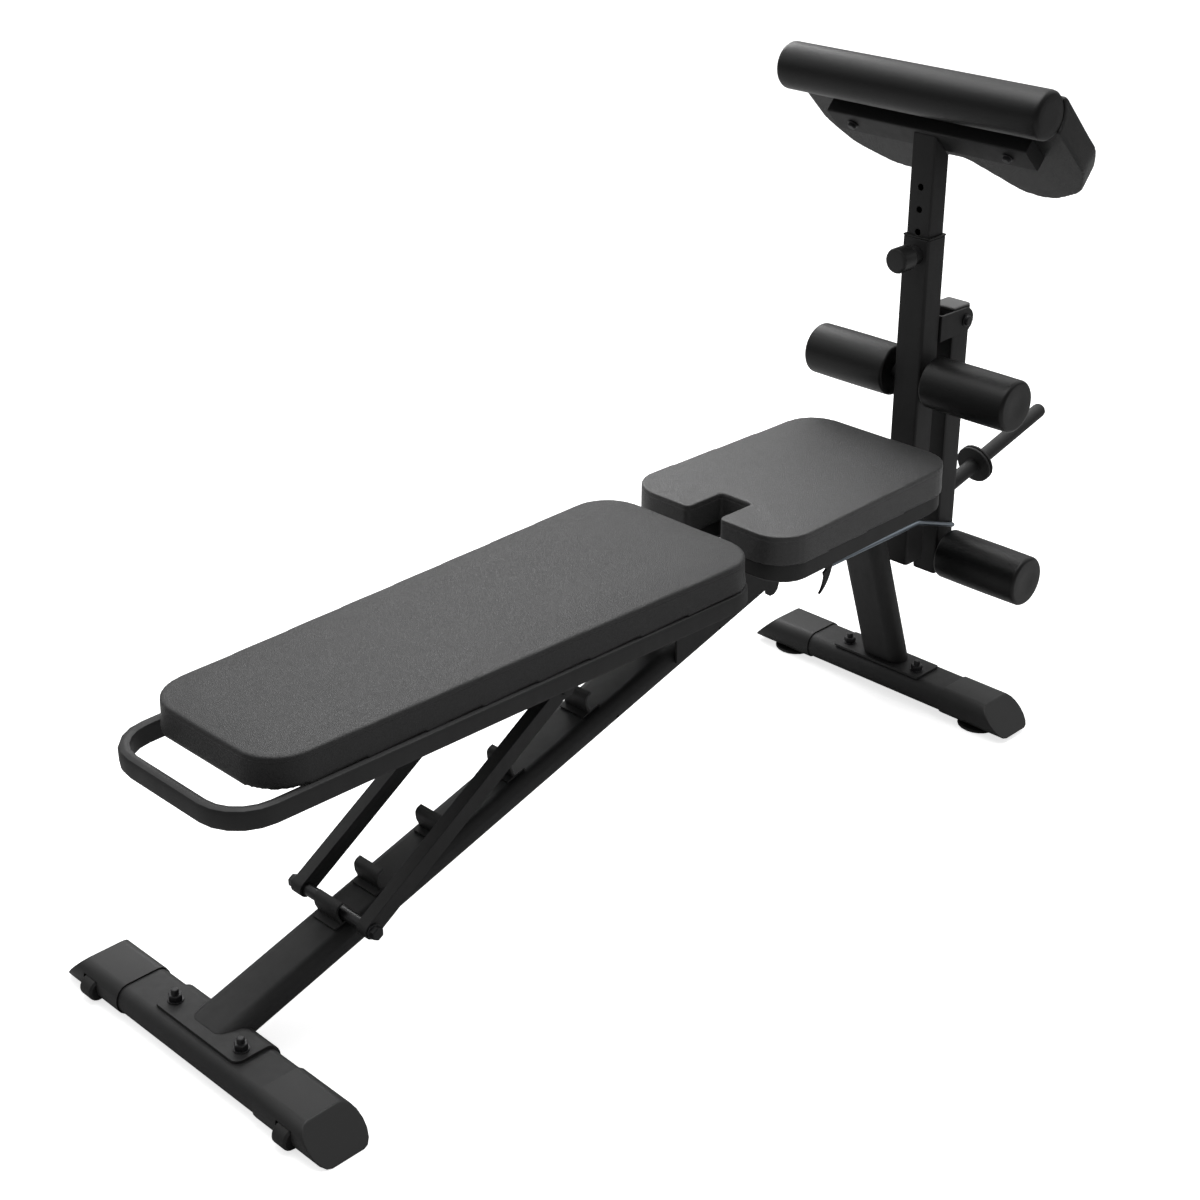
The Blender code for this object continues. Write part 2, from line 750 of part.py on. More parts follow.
bracket = plate_pair("pivot_bracket", frame, cheek_outline(), *BRACKET_Y, "far_cheek")
for point, half, tag in (
    (BACK_PIVOT, BACK_PIN_HALF, "back_pin"),
    (SEAT_PIVOT, SEAT_PIN_HALF, "seat_pin"),
):
    bracket.join(turned(mid(point), Y_AXIS, mirrored(half), 12), tag=tag)

# ------------------------------------------------------------------ back support
STRUT_PIN_HALF = [  # (y, radius)
    (0.0785, 0.0070), (0.0785, 0.0110), (0.0830, 0.0110), (0.0850, 0.0090),
]
STRUT_Y = (0.0580, 0.0780)
STRUT_HALF_H = 0.0125
FOOT_ROD_HALF = [  # (y, radius), or (y, "hex", width across flats)
    (0.0577, 0.0085), (0.0577, 0.0050), (0.0783, 0.0050),
    (0.0783, 0.0110), (0.0815, 0.0110),
    (0.0815, "hex", 0.0170), (0.0885, "hex", 0.0170), (0.0894, "hex", 0.0150),
]


def back_rail():
    """Inverted channel: two side plates with ears on the back pivot and
    hangers down to the strut pivot."""
    plate = [(-0.8700, 0.4377), (-0.8700, 0.4050)]
    plate += arc(STRUT_TOP, 0.0150, 200, 340)
    plate += [(-0.7900, 0.4050), (-0.7750, 0.4215), (-0.5850, 0.4215)]
    plate += arc(BACK_PIVOT, 0.0122, 240, 450, 7)
    spine = plate_pair("back_rail", back, plate, 0.0315, 0.0395, "far_plate")
    spine.join(box(-0.8690, -0.5880, -0.0355, 0.0355, 0.4330, 0.4370), tag="web")
    spine.join(cross_rod(STRUT_TOP, 0.0577, 0.0100), tag="cross_bar")
    strut_pin = turned(mid(STRUT_TOP), Y_AXIS, mirrored(STRUT_PIN_HALF), 12)
    spine.join(strut_pin, tag="strut_pin")
    spine.cut(cross_rod(BACK_PIVOT, 0.045, PIVOT_HOLE_R, 14), tag="pivot_hole")


def strut_outline():
    """Round-ended bar from the strut pivot to the foot rod."""
    along = mid(STRUT_FOOT) - mid(STRUT_TOP)
    length = along.length
    along.normalize()
    normal = Vector((-along.z, 0, along.x))
    local = arc((0, 0), STRUT_HALF_H, 90, 270, 8) + arc((length, 0), STRUT_HALF_H, -90, 90, 8)
    points = [mid(STRUT_TOP) + along * x + normal * z for x, z in local]
    return [(p.x, p.z) for p in points]


back_rail()
for side, word in SIDES:
    shape = prism_y(strut_outline(), side * STRUT_Y[0], side * STRUT_Y[1])
    bar = Piece("strut_" + word, strut, COAT, shape)
    bar.cut(
        rod(mid(STRUT_TOP), (0, side, 0), 0.050, 0.090, 0.0073, 14),
        rod(mid(STRUT_FOOT), (0, side, 0), 0.050, 0.090, 0.0053, 12),
        tag="pin_holes",
    )
shape = turned(mid(STRUT_FOOT), Y_AXIS, mirrored(FOOT_ROD_HALF), 12)
Piece("strut_foot_rod", strut, BOLT, shape)

# ------------------------------------------------------------------ back frame
HANDLE_X = -1.4215
HANDLE_HALF_W = (0.137, 0.160)  # at HANDLE_X and at the seat end of the back pad
HANDLE_Z = (0.414, 0.444)
HANDLE_T = 0.0165
HANDLE_WALL = 0.0015
SLAT_X = (-0.740, -1.180)
SLAT_Z = (0.4383, 0.4419)


def handle_tube():
    """Tube that follows the edge of the back pad, its ends at the seat end."""
    handle_x, seat_x = HANDLE_X + HANDLE_T / 2, BACK_X[1] - HANDLE_T / 2
    handle_y, seat_y = (half - HANDLE_T / 2 for half in HANDLE_HALF_W)
    z = sum(HANDLE_Z) / 2
    half = [
        ((seat_x, 0.060, z), 0),
        ((seat_x, seat_y, z), 0.050),
        ((handle_x, handle_y, z), 0.060),
    ]
    path = fillet(mirrored_path(half), False, 5)
    height = HANDLE_Z[1] - HANDLE_Z[0]
    outer = rounded(height, HANDLE_T, 0.0065)
    inner = rounded(height - 2 * HANDLE_WALL, HANDLE_T - 2 * HANDLE_WALL, 0.0050)
    return hollow(sweep(path, outer, Z_AXIS), sweep(path, inner, Z_AXIS))


def handle_half(x):
    """Half width over the handle tube at a station."""
    narrow, wide = HANDLE_HALF_W
    return narrow + (wide - narrow) * (x - HANDLE_X) / (BACK_X[1] - HANDLE_X)


back_frame = Piece("back_frame", back, COAT, handle_tube())
for number, x in enumerate(SLAT_X, 1):
    half = handle_half(x) - 0.0055
    slat = box(x - 0.017, x + 0.017, -half, half, *SLAT_Z)
    back_frame.join(slat, tag="slat_%d" % number)

# ------------------------------------------------------------------ pads
BACK_CORNER, SEAT_CORNER = 0.062, 0.055
NOTCH_Y, NOTCH_X = 0.031, -0.3995  # half width and +X end of the seat notch


def cushion(name, body, finish, outline, heights, top, bottom):
    """Slab with its top and bottom rims rounded by the given widths."""
    z0, z1 = heights

    def round_rims(mesh, rings):
        bevel_rim(mesh, face_on(mesh, rings[1]), top, 2)
        underside = [
            face for face in mesh.faces if all(abs(v.co.z - z0) < 1e-6 for v in face.verts)
        ]
        bevel_rim(mesh, underside, bottom, 1)

    return Piece(name, body, finish, prism_z(outline, z0, z1), edit=round_rims)


def tapered_ends(x_range, half_widths, corner, inset):
    """Four corners of a pad outline, from (-X, -Y) to (-X, +Y)."""
    x0, x1 = x_range[0] + inset, x_range[1] - inset
    y0, y1 = half_widths[0] - inset, half_widths[1] - inset
    radius = corner - inset
    return [(x0, -y0, radius), (x1, -y1, radius), (x1, y1, radius), (x0, y0, radius)]


def back_outline(inset):
    return corners(tapered_ends(BACK_X, BACK_HALF_W, BACK_CORNER, inset), 6)


def seat_outline(inset, widening):
    """Seat outline with a notch in the middle of its -X edge."""
    x, y = SEAT_X[0] + inset, NOTCH_Y + widening
    notch_x = NOTCH_X + widening
    notch = [(x, y, 0.007), (notch_x, y, 0.006), (notch_x, -y, 0.006), (x, -y, 0.007)]
    return corners(notch + tapered_ends(SEAT_X, SEAT_HALF_W, SEAT_CORNER, inset))


back_pad = cushion("back_pad", back, VINYL, back_outline(0), BACK_Z, top=0.009, bottom=0.003)
recess = prism_z(back_outline(0.0090), BACK_Z[0] - 0.01, BACK_Z[0] + 0.0113)
back_pad.cut(recess, tag="board_recess")
board = prism_z(back_outline(0.0094), BACK_Z[0] - 0.0001, BACK_Z[0] + 0.0108)
Piece("back_board", back, BOARD, board)

cushion("seat_pad", seat, VINYL, seat_outline(0, 0), SEAT_Z, top=0.0055, bottom=0.002)
cushion(
    "seat_board", seat, BOARD, seat_outline(0.003, 0.002), SEAT_SHELL_Z, top=0.0015, bottom=0.004
)

# ------------------------------------------------------------------ seat rack
RACK_TOP = 0.4136
RACK_EAR_R = 0.0125
TOOTH_TIP, TOOTH_ROOT, ARM_OUTER = 0.1965, 0.2015, 0.2140  # radii about SEAT_PIVOT
TOOTH_START, TOOTH_PITCH, TOOTH_COUNT = -2.0, 3.4, 6  # degrees
RACK_TAIL = [  # (degrees, radius) about SEAT_PIVOT, round the lower end of the arm
    (-22.6, 0.2030), (-25.0, 0.2038), (-27.0, 0.2036), (-28.6, 0.2020), (-28.7, 0.2032),
    (-27.2, 0.2064), (-25.0, 0.2096), (-22.4, 0.2120), (-20.0, 0.2135),
]


def rack_outline():
    """Strip with an ear on the seat pivot and a toothed arm hanging at +X."""
    outline = [(SEAT_PIVOT[0] - RACK_EAR_R, RACK_TOP)]
    outline += arc(SEAT_PIVOT, RACK_EAR_R, 180, 340)
    outline += [(-0.4180, 0.4000), (-0.2475, 0.4000)]
    for j in range(TOOTH_COUNT):
        turn = TOOTH_START - TOOTH_PITCH * j
        outline.append(polar(SEAT_PIVOT, TOOTH_TIP, turn))
        outline.append(polar(SEAT_PIVOT, TOOTH_ROOT, turn - TOOTH_PITCH / 2))
    outline += [polar(SEAT_PIVOT, radius, turn) for turn, radius in RACK_TAIL]
    outline += arc(SEAT_PIVOT, ARM_OUTER, -18, 4.3, 7)
    outline += [(-0.2270, RACK_TOP)]
    return outline


rack = plate_pair("seat_rack_bracket", seat, rack_outline(), 0.0515, 0.0555, "far_arm")
rack.join(box(-0.3930, -0.2290, -0.0535, 0.0535, 0.4095, 0.4132), tag="web")
rack.cut(cross_rod(SEAT_PIVOT, 0.07, PIVOT_HOLE_R, 14), tag="pivot_hole")

# ------------------------------------------------------------------ upright
BUSH_PROFILE = [  # (width along X, z), round the wall of the bush
    (INNER_W + 0.0006, 0.7840),
    (UPRIGHT_BORE - 0.0006, 0.7840),
    (UPRIGHT_BORE - 0.0006, UPRIGHT_Z[1] + GAP),
    (UPRIGHT_W + 0.0008, UPRIGHT_Z[1] + GAP),
    (UPRIGHT_W + 0.0008, UPRIGHT_Z[1] + 0.0022),
    (UPRIGHT_W - 0.0006, UPRIGHT_Z[1] + 0.0030),
    (INNER_W + 0.0006, UPRIGHT_Z[1] + 0.0030),
]
PIN_HOLE_R = 0.0053
# (distance towards -X, radius)
BOSS_PROFILE = [
    (0, PIN_HOLE_R), (0, 0.0150), (0.0107, 0.0150), (0.0117, 0.0138), (0.0117, PIN_HOLE_R),
]
PIN_PROFILE = [
    (-0.0018, 0), (-0.0018, 0.0038), (-0.0006, 0.0050), (0.0255, 0.0050),
    (0.0255, 0.0162), (0.0180, 0.0162), (0.0180, 0.0185), (0.0200, 0.0200),
    (0.0445, 0.0200), (0.0473, 0.0188), (0.0485, 0.0160), (0.0485, 0),
]


def pin_hole(z):
    """Hole through the -X wall of the upright or inner tube."""
    return rod((0, 0, z), X_AXIS, -0.01, 0.012, PIN_HOLE_R, 12)


upright = Piece(
    "upright_tube",
    frame,
    COAT,
    tube_z(square(UPRIGHT_W, 0.004), square(UPRIGHT_BORE, 0.0025), *UPRIGHT_Z),
)
upright.cut(cross_rod(UPPER_ROLLER, 0.04, ROLLER_BAR_R + GAP), tag="bar_holes")
upright.cut(pin_hole(PIN_Z), tag="pin_hole")

bush_rings = [z_rings(square(width, 0.0030), z)[0] for width, z in BUSH_PROFILE]
Piece("upright_bush", frame, PLASTIC, Shape(bush_rings, closed=True))

boss = turned((-GAP, 0, PIN_Z), (-1, 0, 0), BOSS_PROFILE, closed=True)
Piece("pin_boss", frame, COAT, boss)

# knob with a recess that slides over the boss
Piece("pull_pin", pin, PLASTIC, turned((0, 0, PIN_Z), (-1, 0, 0), PIN_PROFILE, 20))

# ------------------------------------------------------------------ curl slab axes
# Places on the slab are (along, y, off): distance down the slope, across,
# and height along the slab normal.
SLOPE = math.radians(44.3)
SLAB_START = -0.6961  # distance down the slope where "along" is zero
SLAB_N = (0.7189, 0.7574)  # under and upper faces of the cushion
BOARD_N = (0.7138, 0.7250)
CROSS_N = (0.6885, 0.7135)
CROSS_ALONG = (0.0211, 0.0711)
CROSS_HALF = 0.184
slab_along = Vector((math.cos(SLOPE), 0, -math.sin(SLOPE)))
slab_normal = Vector((math.sin(SLOPE), 0, math.cos(SLOPE)))


def on_slab(along, y, off):
    point = slab_along * (along + SLAB_START) + slab_normal * off
    return Vector((point.x, y, point.z))


def slab_prism(outline, low, high):
    """(along, y) outline between two heights along the slab normal."""
    return Shape([[on_slab(along, y, off) for along, y in outline] for off in (low, high)])


# ------------------------------------------------------------------ inner tube
def mitred_rings(outline):
    """XY outline from the tube's foot up to the underside of the cross tube."""
    plane = CROSS_N[0] - GAP
    top = [(x, y, (plane - slab_normal.x * x) / slab_normal.z) for x, y in outline]
    return z_rings(outline, INNER_Z0) + [top]


inner_tube = Piece(
    "inner_tube",
    curl,
    COAT,
    hollow(
        mitred_rings(square(INNER_W, 0.003)),
        mitred_rings(square(INNER_W - 2 * WALL, 0.002)),
    ),
)
inner_tube.cut(*[pin_hole(z) for z in HOLE_Z], tag="selector_holes")

# ------------------------------------------------------------------ curl pad
ROLL_CENTRE, ROLL_R, ROLL_HALF = (-0.0292, 1.0308), 0.0363, 0.2386
CURL_BOLT = (0.045, 0.144)  # along, y
CURL_BOLT_HOLE_R = 0.0043
CROSS_WALL_INSET = 0.003  # bore width and height below the outside
CROSS_END_T = 0.002
CURL_BOLT_PROFILE = [  # (distance along the slab normal, radius)
    (-0.0075, 0.0052), (-0.0065, 0.0065), (-0.0020, 0.0070), (-0.0020, 0.0090),
    (0, 0.0090), (0, 0.0040), (0.0330, 0.0040),
]
CURL_HALF = [  # (along, y, corner radius) after the first corner at the roll
    (0.020, 0.2415, 0.03), (0.096, 0.2415, 0.060),
    (0.158, 0.2150, 0.050), (0.1985, 0.1500, 0.050), (0.1970, 0.0960, 0.040),
    (0.1560, 0.0500, 0.042), (0.1280, 0.0170, 0.022),
]
ROLL_END_HALF = [
    (ROLL_HALF - 0.006, ROLL_R), (ROLL_HALF - 0.002, ROLL_R - 0.003),
    (ROLL_HALF, ROLL_R - 0.007),
]


def slab_bolt_holes(off, low, high):
    along, y = CURL_BOLT
    return [
        rod(on_slab(along, side * y, off), slab_normal, low, high, CURL_BOLT_HOLE_R, 14)
        for side, _ in SIDES
    ]


def cross_shape(shrink, radius, half):
    """Rounded bar across the slab, smaller than the cross tube by shrink."""
    mid_along, mid_off = sum(CROSS_ALONG) / 2, sum(CROSS_N) / 2
    section = rounded(
        CROSS_ALONG[1] - CROSS_ALONG[0] - shrink, CROSS_N[1] - CROSS_N[0] - shrink, radius
    )
    return Shape(
        [[on_slab(mid_along + x, y, mid_off + z) for x, z in section] for y in (-half, half)]
    )


def curl_outline(inset, start):
    """Slab outline in (along, y): wide at the roll, with two lobes and a
    notch between them at the far edge."""
    half = [(start, 0.2400, 0.0)] + CURL_HALF
    outline = corners(half + [(x, -y, radius) for x, y, radius in reversed(half)], 6)
    moved = []
    for i, (x, y) in enumerate(outline):
        before, after = Vector(outline[i - 1]), Vector(outline[(i + 1) % len(outline)])
        ahead = (after - before).normalized()
        # the outline runs clockwise, so its inside is to the right
        moved.append((x + ahead.y * inset, y - ahead.x * inset))
    return moved


def tongue(root, tip, half):
    """Rectangle reaching towards the roll, from root to tip."""
    return [(root, -half), (tip, -half), (tip, half), (root, half)]


def round_slab_top(mesh, rings):
    bevel_rim(mesh, face_on(mesh, rings[1]), 0.005, 1)


def cross_tube():
    tube = Piece("preacher_cross_tube", curl, COAT, cross_shape(0, 0.003, CROSS_HALF))
    # the bore stops short of both ends, which stay closed
    bore = cross_shape(CROSS_WALL_INSET, 0.0015, CROSS_HALF - CROSS_END_T)
    tube.cut(bore, tag="hollow")
    tube.cut(*slab_bolt_holes(sum(CROSS_N) / 2, -0.03, 0.03), tag="bolt_holes")


def curl_cushion():
    shape = slab_prism(curl_outline(0, -0.0350), *SLAB_N)
    pad = Piece("preacher_cushion", curl, VINYL, shape, edit=round_slab_top)
    recess = slab_prism(curl_outline(0.0100, -0.040), SLAB_N[0] - 0.01, BOARD_N[1] + GAP)
    pad.cut(recess, tag="board_recess")
    pad.cut(cross_rod(ROLL_CENTRE, 0.26, ROLL_R + GAP, 56), tag="roll_hollow")


def curl_board():
    """Board under the cushion, with a tongue into the roll."""
    main = [(along, y) for along, y in curl_outline(0.0104, -0.020) if along > 0.020]
    outline = main + tongue(0.019, -0.0330, 0.2000)
    made = Piece("preacher_board", curl, BOARD, slab_prism(outline, *BOARD_N))
    made.cut(*slab_bolt_holes(0.700, -0.01, 0.0222), tag="bolt_holes")


def curl_roll():
    shape = turned(mid(ROLL_CENTRE), Y_AXIS, mirrored(ROLL_END_HALF), 28)
    roll = Piece("preacher_roll", curl, FOAM, shape)
    slot = tongue(0.030, -0.0340, 0.2010)
    roll.cut(slab_prism(slot, BOARD_N[0] - GAP, BOARD_N[1] + GAP), tag="board_slot")


cross_tube()
curl_cushion()
curl_board()
curl_roll()
for side, word in SIDES:
    head = on_slab(CURL_BOLT[0], side * CURL_BOLT[1], CROSS_N[0] - GAP)
    shape = turned(head, slab_normal, CURL_BOLT_PROFILE, 12)
    Piece("preacher_bolt_" + word, curl, BOLT, shape)

# ------------------------------------------------------------------ arm bracket
WEB_X = (UPRIGHT_W + GAP, UPRIGHT_W + GAP + 0.004)
WEB_Z = (0.625, 0.668)
ARM_BOLT_PROFILE = [  # (y, radius), or (y, "hex", width across flats)
    (-0.0352, 0.0062), (-0.0338, 0.0080), (-0.0302, 0.0088), (-0.0302, 0.0105),
    (-0.0281, 0.0105), (-0.0281, 0.0050), (0.0281, 0.0050), (0.0281, 0.0105),
    (0.0300, 0.0105), (0.0300, "hex", 0.0170), (0.0370, "hex", 0.0170),
    (0.0378, "hex", 0.0152), (0.0378, 0.0048), (0.0400, 0.0044),
]

holder = Piece("arm_bracket", frame, COAT, box(*WEB_X, -0.0275, 0.0275, *WEB_Z))
# the ears start just inside the web, so that they join it
ear = [(WEB_X[0] + 0.0006, WEB_Z[0] + 0.0006), (WEB_X[0] + 0.0006, WEB_Z[1] - 0.0006)]
ear += arc(ARM_PIVOT, 0.020, 88, -88, 7)
holder.join(prism_y(ear, 0.0235, 0.0278), tag="ear_1")
holder.join(prism_y(ear, -0.0278, -0.0235), tag="ear_2")
holder.cut(cross_rod(ARM_PIVOT, 0.04, 0.0053, 12), tag="bolt_hole")
Piece("arm_pivot_bolt", frame, BOLT, turned(mid(ARM_PIVOT), Y_AXIS, ARM_BOLT_PROFILE, 12))

# ------------------------------------------------------------------ leg arm
PEG = (0.1298, 0.341)
PEG_TILT = math.radians(14.3)
PEG_R = 0.0125
PEG_FLANGE_X, PEG_END_X = 0.2123, 0.4015
PEG_ROUNDING = 0.0100
peg_along = Vector((math.cos(PEG_TILT), 0, math.sin(PEG_TILT)))
CAP_PROFILE = [  # (width, distance beyond the tube end, corner radius)
    (UPRIGHT_BORE - 0.0008, -0.012, 0.0025),
    (UPRIGHT_BORE - 0.0008, GAP, 0.0025),
    (UPRIGHT_W - 0.0004, GAP, 0.004),
    (UPRIGHT_W - 0.0004, 0.0030, 0.004),
    (UPRIGHT_W - 0.0040, 0.0042, 0.003),
]
FLANGE_PROFILE = [  # (distance from the flange's middle, radius)
    (-0.0065, PEG_R), (-0.0065, 0.0310), (-0.0052, 0.0330), (-0.0015, 0.0330),
    (-0.0010, 0.0305), (0.0010, 0.0305), (0.0015, 0.0330), (0.0052, 0.0330),
    (0.0065, 0.0310), (0.0065, 0.0200), (0.0095, 0.0190), (0.0095, PEG_R),
]


def arm_square(width, radius):
    return square(width, radius, ARM_MID_X, 0.0)


def arm_tube():
    shape = tube_z(arm_square(UPRIGHT_W, 0.004), arm_square(UPRIGHT_BORE, 0.0025), *ARM_Z)
    tube = Piece("arm_tube", arm, COAT, shape)
    tube.cut(
        cross_rod(ARM_PIVOT, 0.03, 0.0053, 12),
        cross_rod(LOWER_ROLLER, 0.03, ROLLER_BAR_R + GAP),
        cross_rod(LATCH_PIVOT, 0.03, 0.0043, 12),
        tag="cross_holes",
    )
    tube.cut(rod(mid(PEG), peg_along, -0.012, 0.012, PEG_R + GAP, 18), tag="peg_hole")


def arm_cap(name, end_z, sign, finish):
    """Plug in one end of the arm tube; sign is +1 at the top."""
    rings = [
        z_rings(arm_square(width, radius), end_z + sign * beyond)[0]
        for width, beyond, radius in CAP_PROFILE
    ]
    Piece(name, arm, finish, Shape(rings))


def plate_post():
    """Weight-plate peg with its stop flange and rounded tip."""
    flange = (PEG_FLANGE_X - PEG[0]) / peg_along.x
    length = (PEG_END_X - PEG[0]) / peg_along.x
    shoulder = length - PEG_ROUNDING
    profile = [(-0.0080, 0.0120), (-0.0075, PEG_R)]
    profile += [(flange + distance, radius) for distance, radius in FLANGE_PROFILE]
    profile += [(shoulder, PEG_R)]
    for j in range(1, 4):
        angle = math.pi / 2 * j / 4
        profile.append((shoulder + PEG_ROUNDING * math.sin(angle), PEG_R * math.cos(angle)))
    profile.append((length, 0))
    Piece("plate_post", arm, COAT, turned(mid(PEG), peg_along, profile, 18))


arm_tube()
arm_cap("arm_top_cap", ARM_Z[1], 1, GREY)
arm_cap("arm_bottom_cap", ARM_Z[0], -1, PLASTIC)
plate_post()


# ------------------------------------------------------------------ foam rollers
def roller_bar(name, centre, body):
    def rings(radius):
        return turned(
            mid(centre), Y_AXIS, [(-ROLLER_BAR_HALF, radius), (ROLLER_BAR_HALF, radius)]
        ).rings

    shape = hollow(rings(ROLLER_BAR_R), rings(ROLLER_BAR_R - WALL))
    Piece(name + "_roller_bar", body, COAT, shape)


def roller_profile():
    """(distance from the middle plane, radius), with a blind bore for the bar."""
    inner_end, outer_end = ROLLER_Y
    bore, bore_end = ROLLER_BAR_R + 2 * GAP, ROLLER_BAR_HALF + 0.001
    profile = [
        (bore_end, 0), (bore_end, bore), (inner_end, bore),
        (inner_end, ROLLER_R - 0.0045), (inner_end + 0.0015, ROLLER_R - 0.0012),
        (inner_end + 0.0045, ROLLER_R),
    ]
    for j in range(4):
        angle = math.pi / 2 * j / 3
        distance = outer_end - 0.006 + 0.006 * math.sin(angle)
        profile.append((distance, ROLLER_R - 0.0065 * (1 - math.cos(angle))))
    profile.append((outer_end, 0))
    return profile


for name, centre, body in (("upper", UPPER_ROLLER, frame), ("lower", LOWER_ROLLER, arm)):
    roller_bar(name, centre, body)
    for side, word in SIDES:
        spin_name = "roller_%s_%s_axis" % (name, word)
        spin = Body(spin_name, mid(centre, side * sum(ROLLER_Y) / 2), body)
        shape = turned(mid(centre), (0, side, 0), roller_profile(), 20)
        Piece("roller_%s_%s" % (name, word), spin, FOAM, shape)

# ------------------------------------------------------------------ latch wire
LATCH_WIRE_R = 0.0040
LATCH_HALF_PATH = [  # position, bend radius; from the -X tip to the arm
    ((-0.2445, 0.0460, 0.3640), 0),
    ((-0.2405, 0.0460, 0.3540), 0.010),
    ((-0.2300, 0.0460, 0.3360), 0.010),
    ((-0.0050, 0.0460, 0.3360), 0.030),
    ((LATCH_PIVOT[0], 0.0310, LATCH_PIVOT[1]), 0.0065),
]

wire_path = fillet(mirrored_path(LATCH_HALF_PATH), False, 3)
wire = Shape(sweep(wire_path, circle(LATCH_WIRE_R, 8), Y_AXIS))
Piece("latch_wire", latch, ZINC, wire)
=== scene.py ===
"""Looks for an adjustable weight bench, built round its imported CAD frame: padded
vinyl, foam rollers, powder coat, moulded plastic, rubber and fasteners.

Metres. The back and seat pads run along X and are mirrored across Y = 0; the
curl pad slopes down toward +X; the rollers lie along Y, with left at +Y; +Z is up.
"""

import math

import bmesh
import bpy
import numpy as np
from mathutils import Matrix, Vector, kdtree

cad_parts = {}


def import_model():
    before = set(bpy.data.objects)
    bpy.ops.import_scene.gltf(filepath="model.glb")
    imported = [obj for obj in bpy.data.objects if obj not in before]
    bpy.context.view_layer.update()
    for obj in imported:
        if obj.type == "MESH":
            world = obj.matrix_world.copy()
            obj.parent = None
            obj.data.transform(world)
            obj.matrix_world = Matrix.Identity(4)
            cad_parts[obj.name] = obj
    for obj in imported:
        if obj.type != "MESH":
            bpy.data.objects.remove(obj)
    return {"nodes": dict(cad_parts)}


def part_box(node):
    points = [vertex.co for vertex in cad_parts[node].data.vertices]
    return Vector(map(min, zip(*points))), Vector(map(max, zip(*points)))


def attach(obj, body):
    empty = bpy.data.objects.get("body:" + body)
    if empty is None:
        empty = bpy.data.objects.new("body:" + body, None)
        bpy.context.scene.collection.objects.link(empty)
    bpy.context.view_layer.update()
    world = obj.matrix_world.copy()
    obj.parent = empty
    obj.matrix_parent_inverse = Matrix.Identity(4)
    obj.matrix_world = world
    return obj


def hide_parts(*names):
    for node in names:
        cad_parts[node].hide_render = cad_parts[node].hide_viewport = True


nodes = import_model()["nodes"]
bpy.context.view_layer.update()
scene = bpy.context.scene
for startup in ("Cube", "Light", "Camera"):
    if startup in bpy.data.objects and startup not in nodes:
        bpy.data.objects.remove(bpy.data.objects[startup])

X, Y, Z = Vector((1, 0, 0)), Vector((0, 1, 0)), Vector((0, 0, 1))


# ------------------------------------------------------------------ node graphs
# A Mix node repeats its socket names for each data type, so the colour
# sockets are picked by index.
MIX_FACTOR, MIX_A, MIX_B, MIX_RESULT = 0, 6, 7, 2


class Graph:
    """Shorthand for adding and linking the nodes of one tree."""

    def __init__(self, tree):
        self.tree = tree

    def add(self, kind, **values):
        node = self.tree.nodes.new(kind)
        for key, value in values.items():
            setattr(node, key, value)
        return node

    def link(self, output, target):
        self.tree.links.new(output, target)

    def fit(self, value, source, target=(0.0, 1.0)):
        """Maps the source range onto the target range."""
        node = self.add("ShaderNodeMapRange")
        for word, limits in (("From", source), ("To", target)):
            node.inputs[word + " Min"].default_value = limits[0]
            node.inputs[word + " Max"].default_value = limits[1]
        self.link(value, node.inputs["Value"])
        return node.outputs["Result"]

    def maths(self, operation, first, second):
        node = self.add("ShaderNodeMath", operation=operation)
        for socket, value in zip(node.inputs, (first, second)):
            if isinstance(value, (int, float)):
                socket.default_value = value
            else:
                self.link(value, socket)
        return node.outputs["Value"]

    def plus(self, base, extra, weight):
        return self.maths("ADD", base, self.maths("MULTIPLY", extra, weight))

    def weighted(self, first, *others):
        """Sum of (value, weight) pairs."""
        total = self.maths("MULTIPLY", *first)
        for value, weight in others:
            total = self.plus(total, value, weight)
        return total

    def mix(self, factor):
        node = self.add("ShaderNodeMix", data_type="RGBA")
        self.link(factor, node.inputs[MIX_FACTOR])
        return node

    def blend(self, factor, low, high):
        node = self.mix(factor)
        node.inputs[MIX_A].default_value = (*low, 1)
        node.inputs[MIX_B].default_value = (*high, 1)
        return node.outputs[MIX_RESULT]


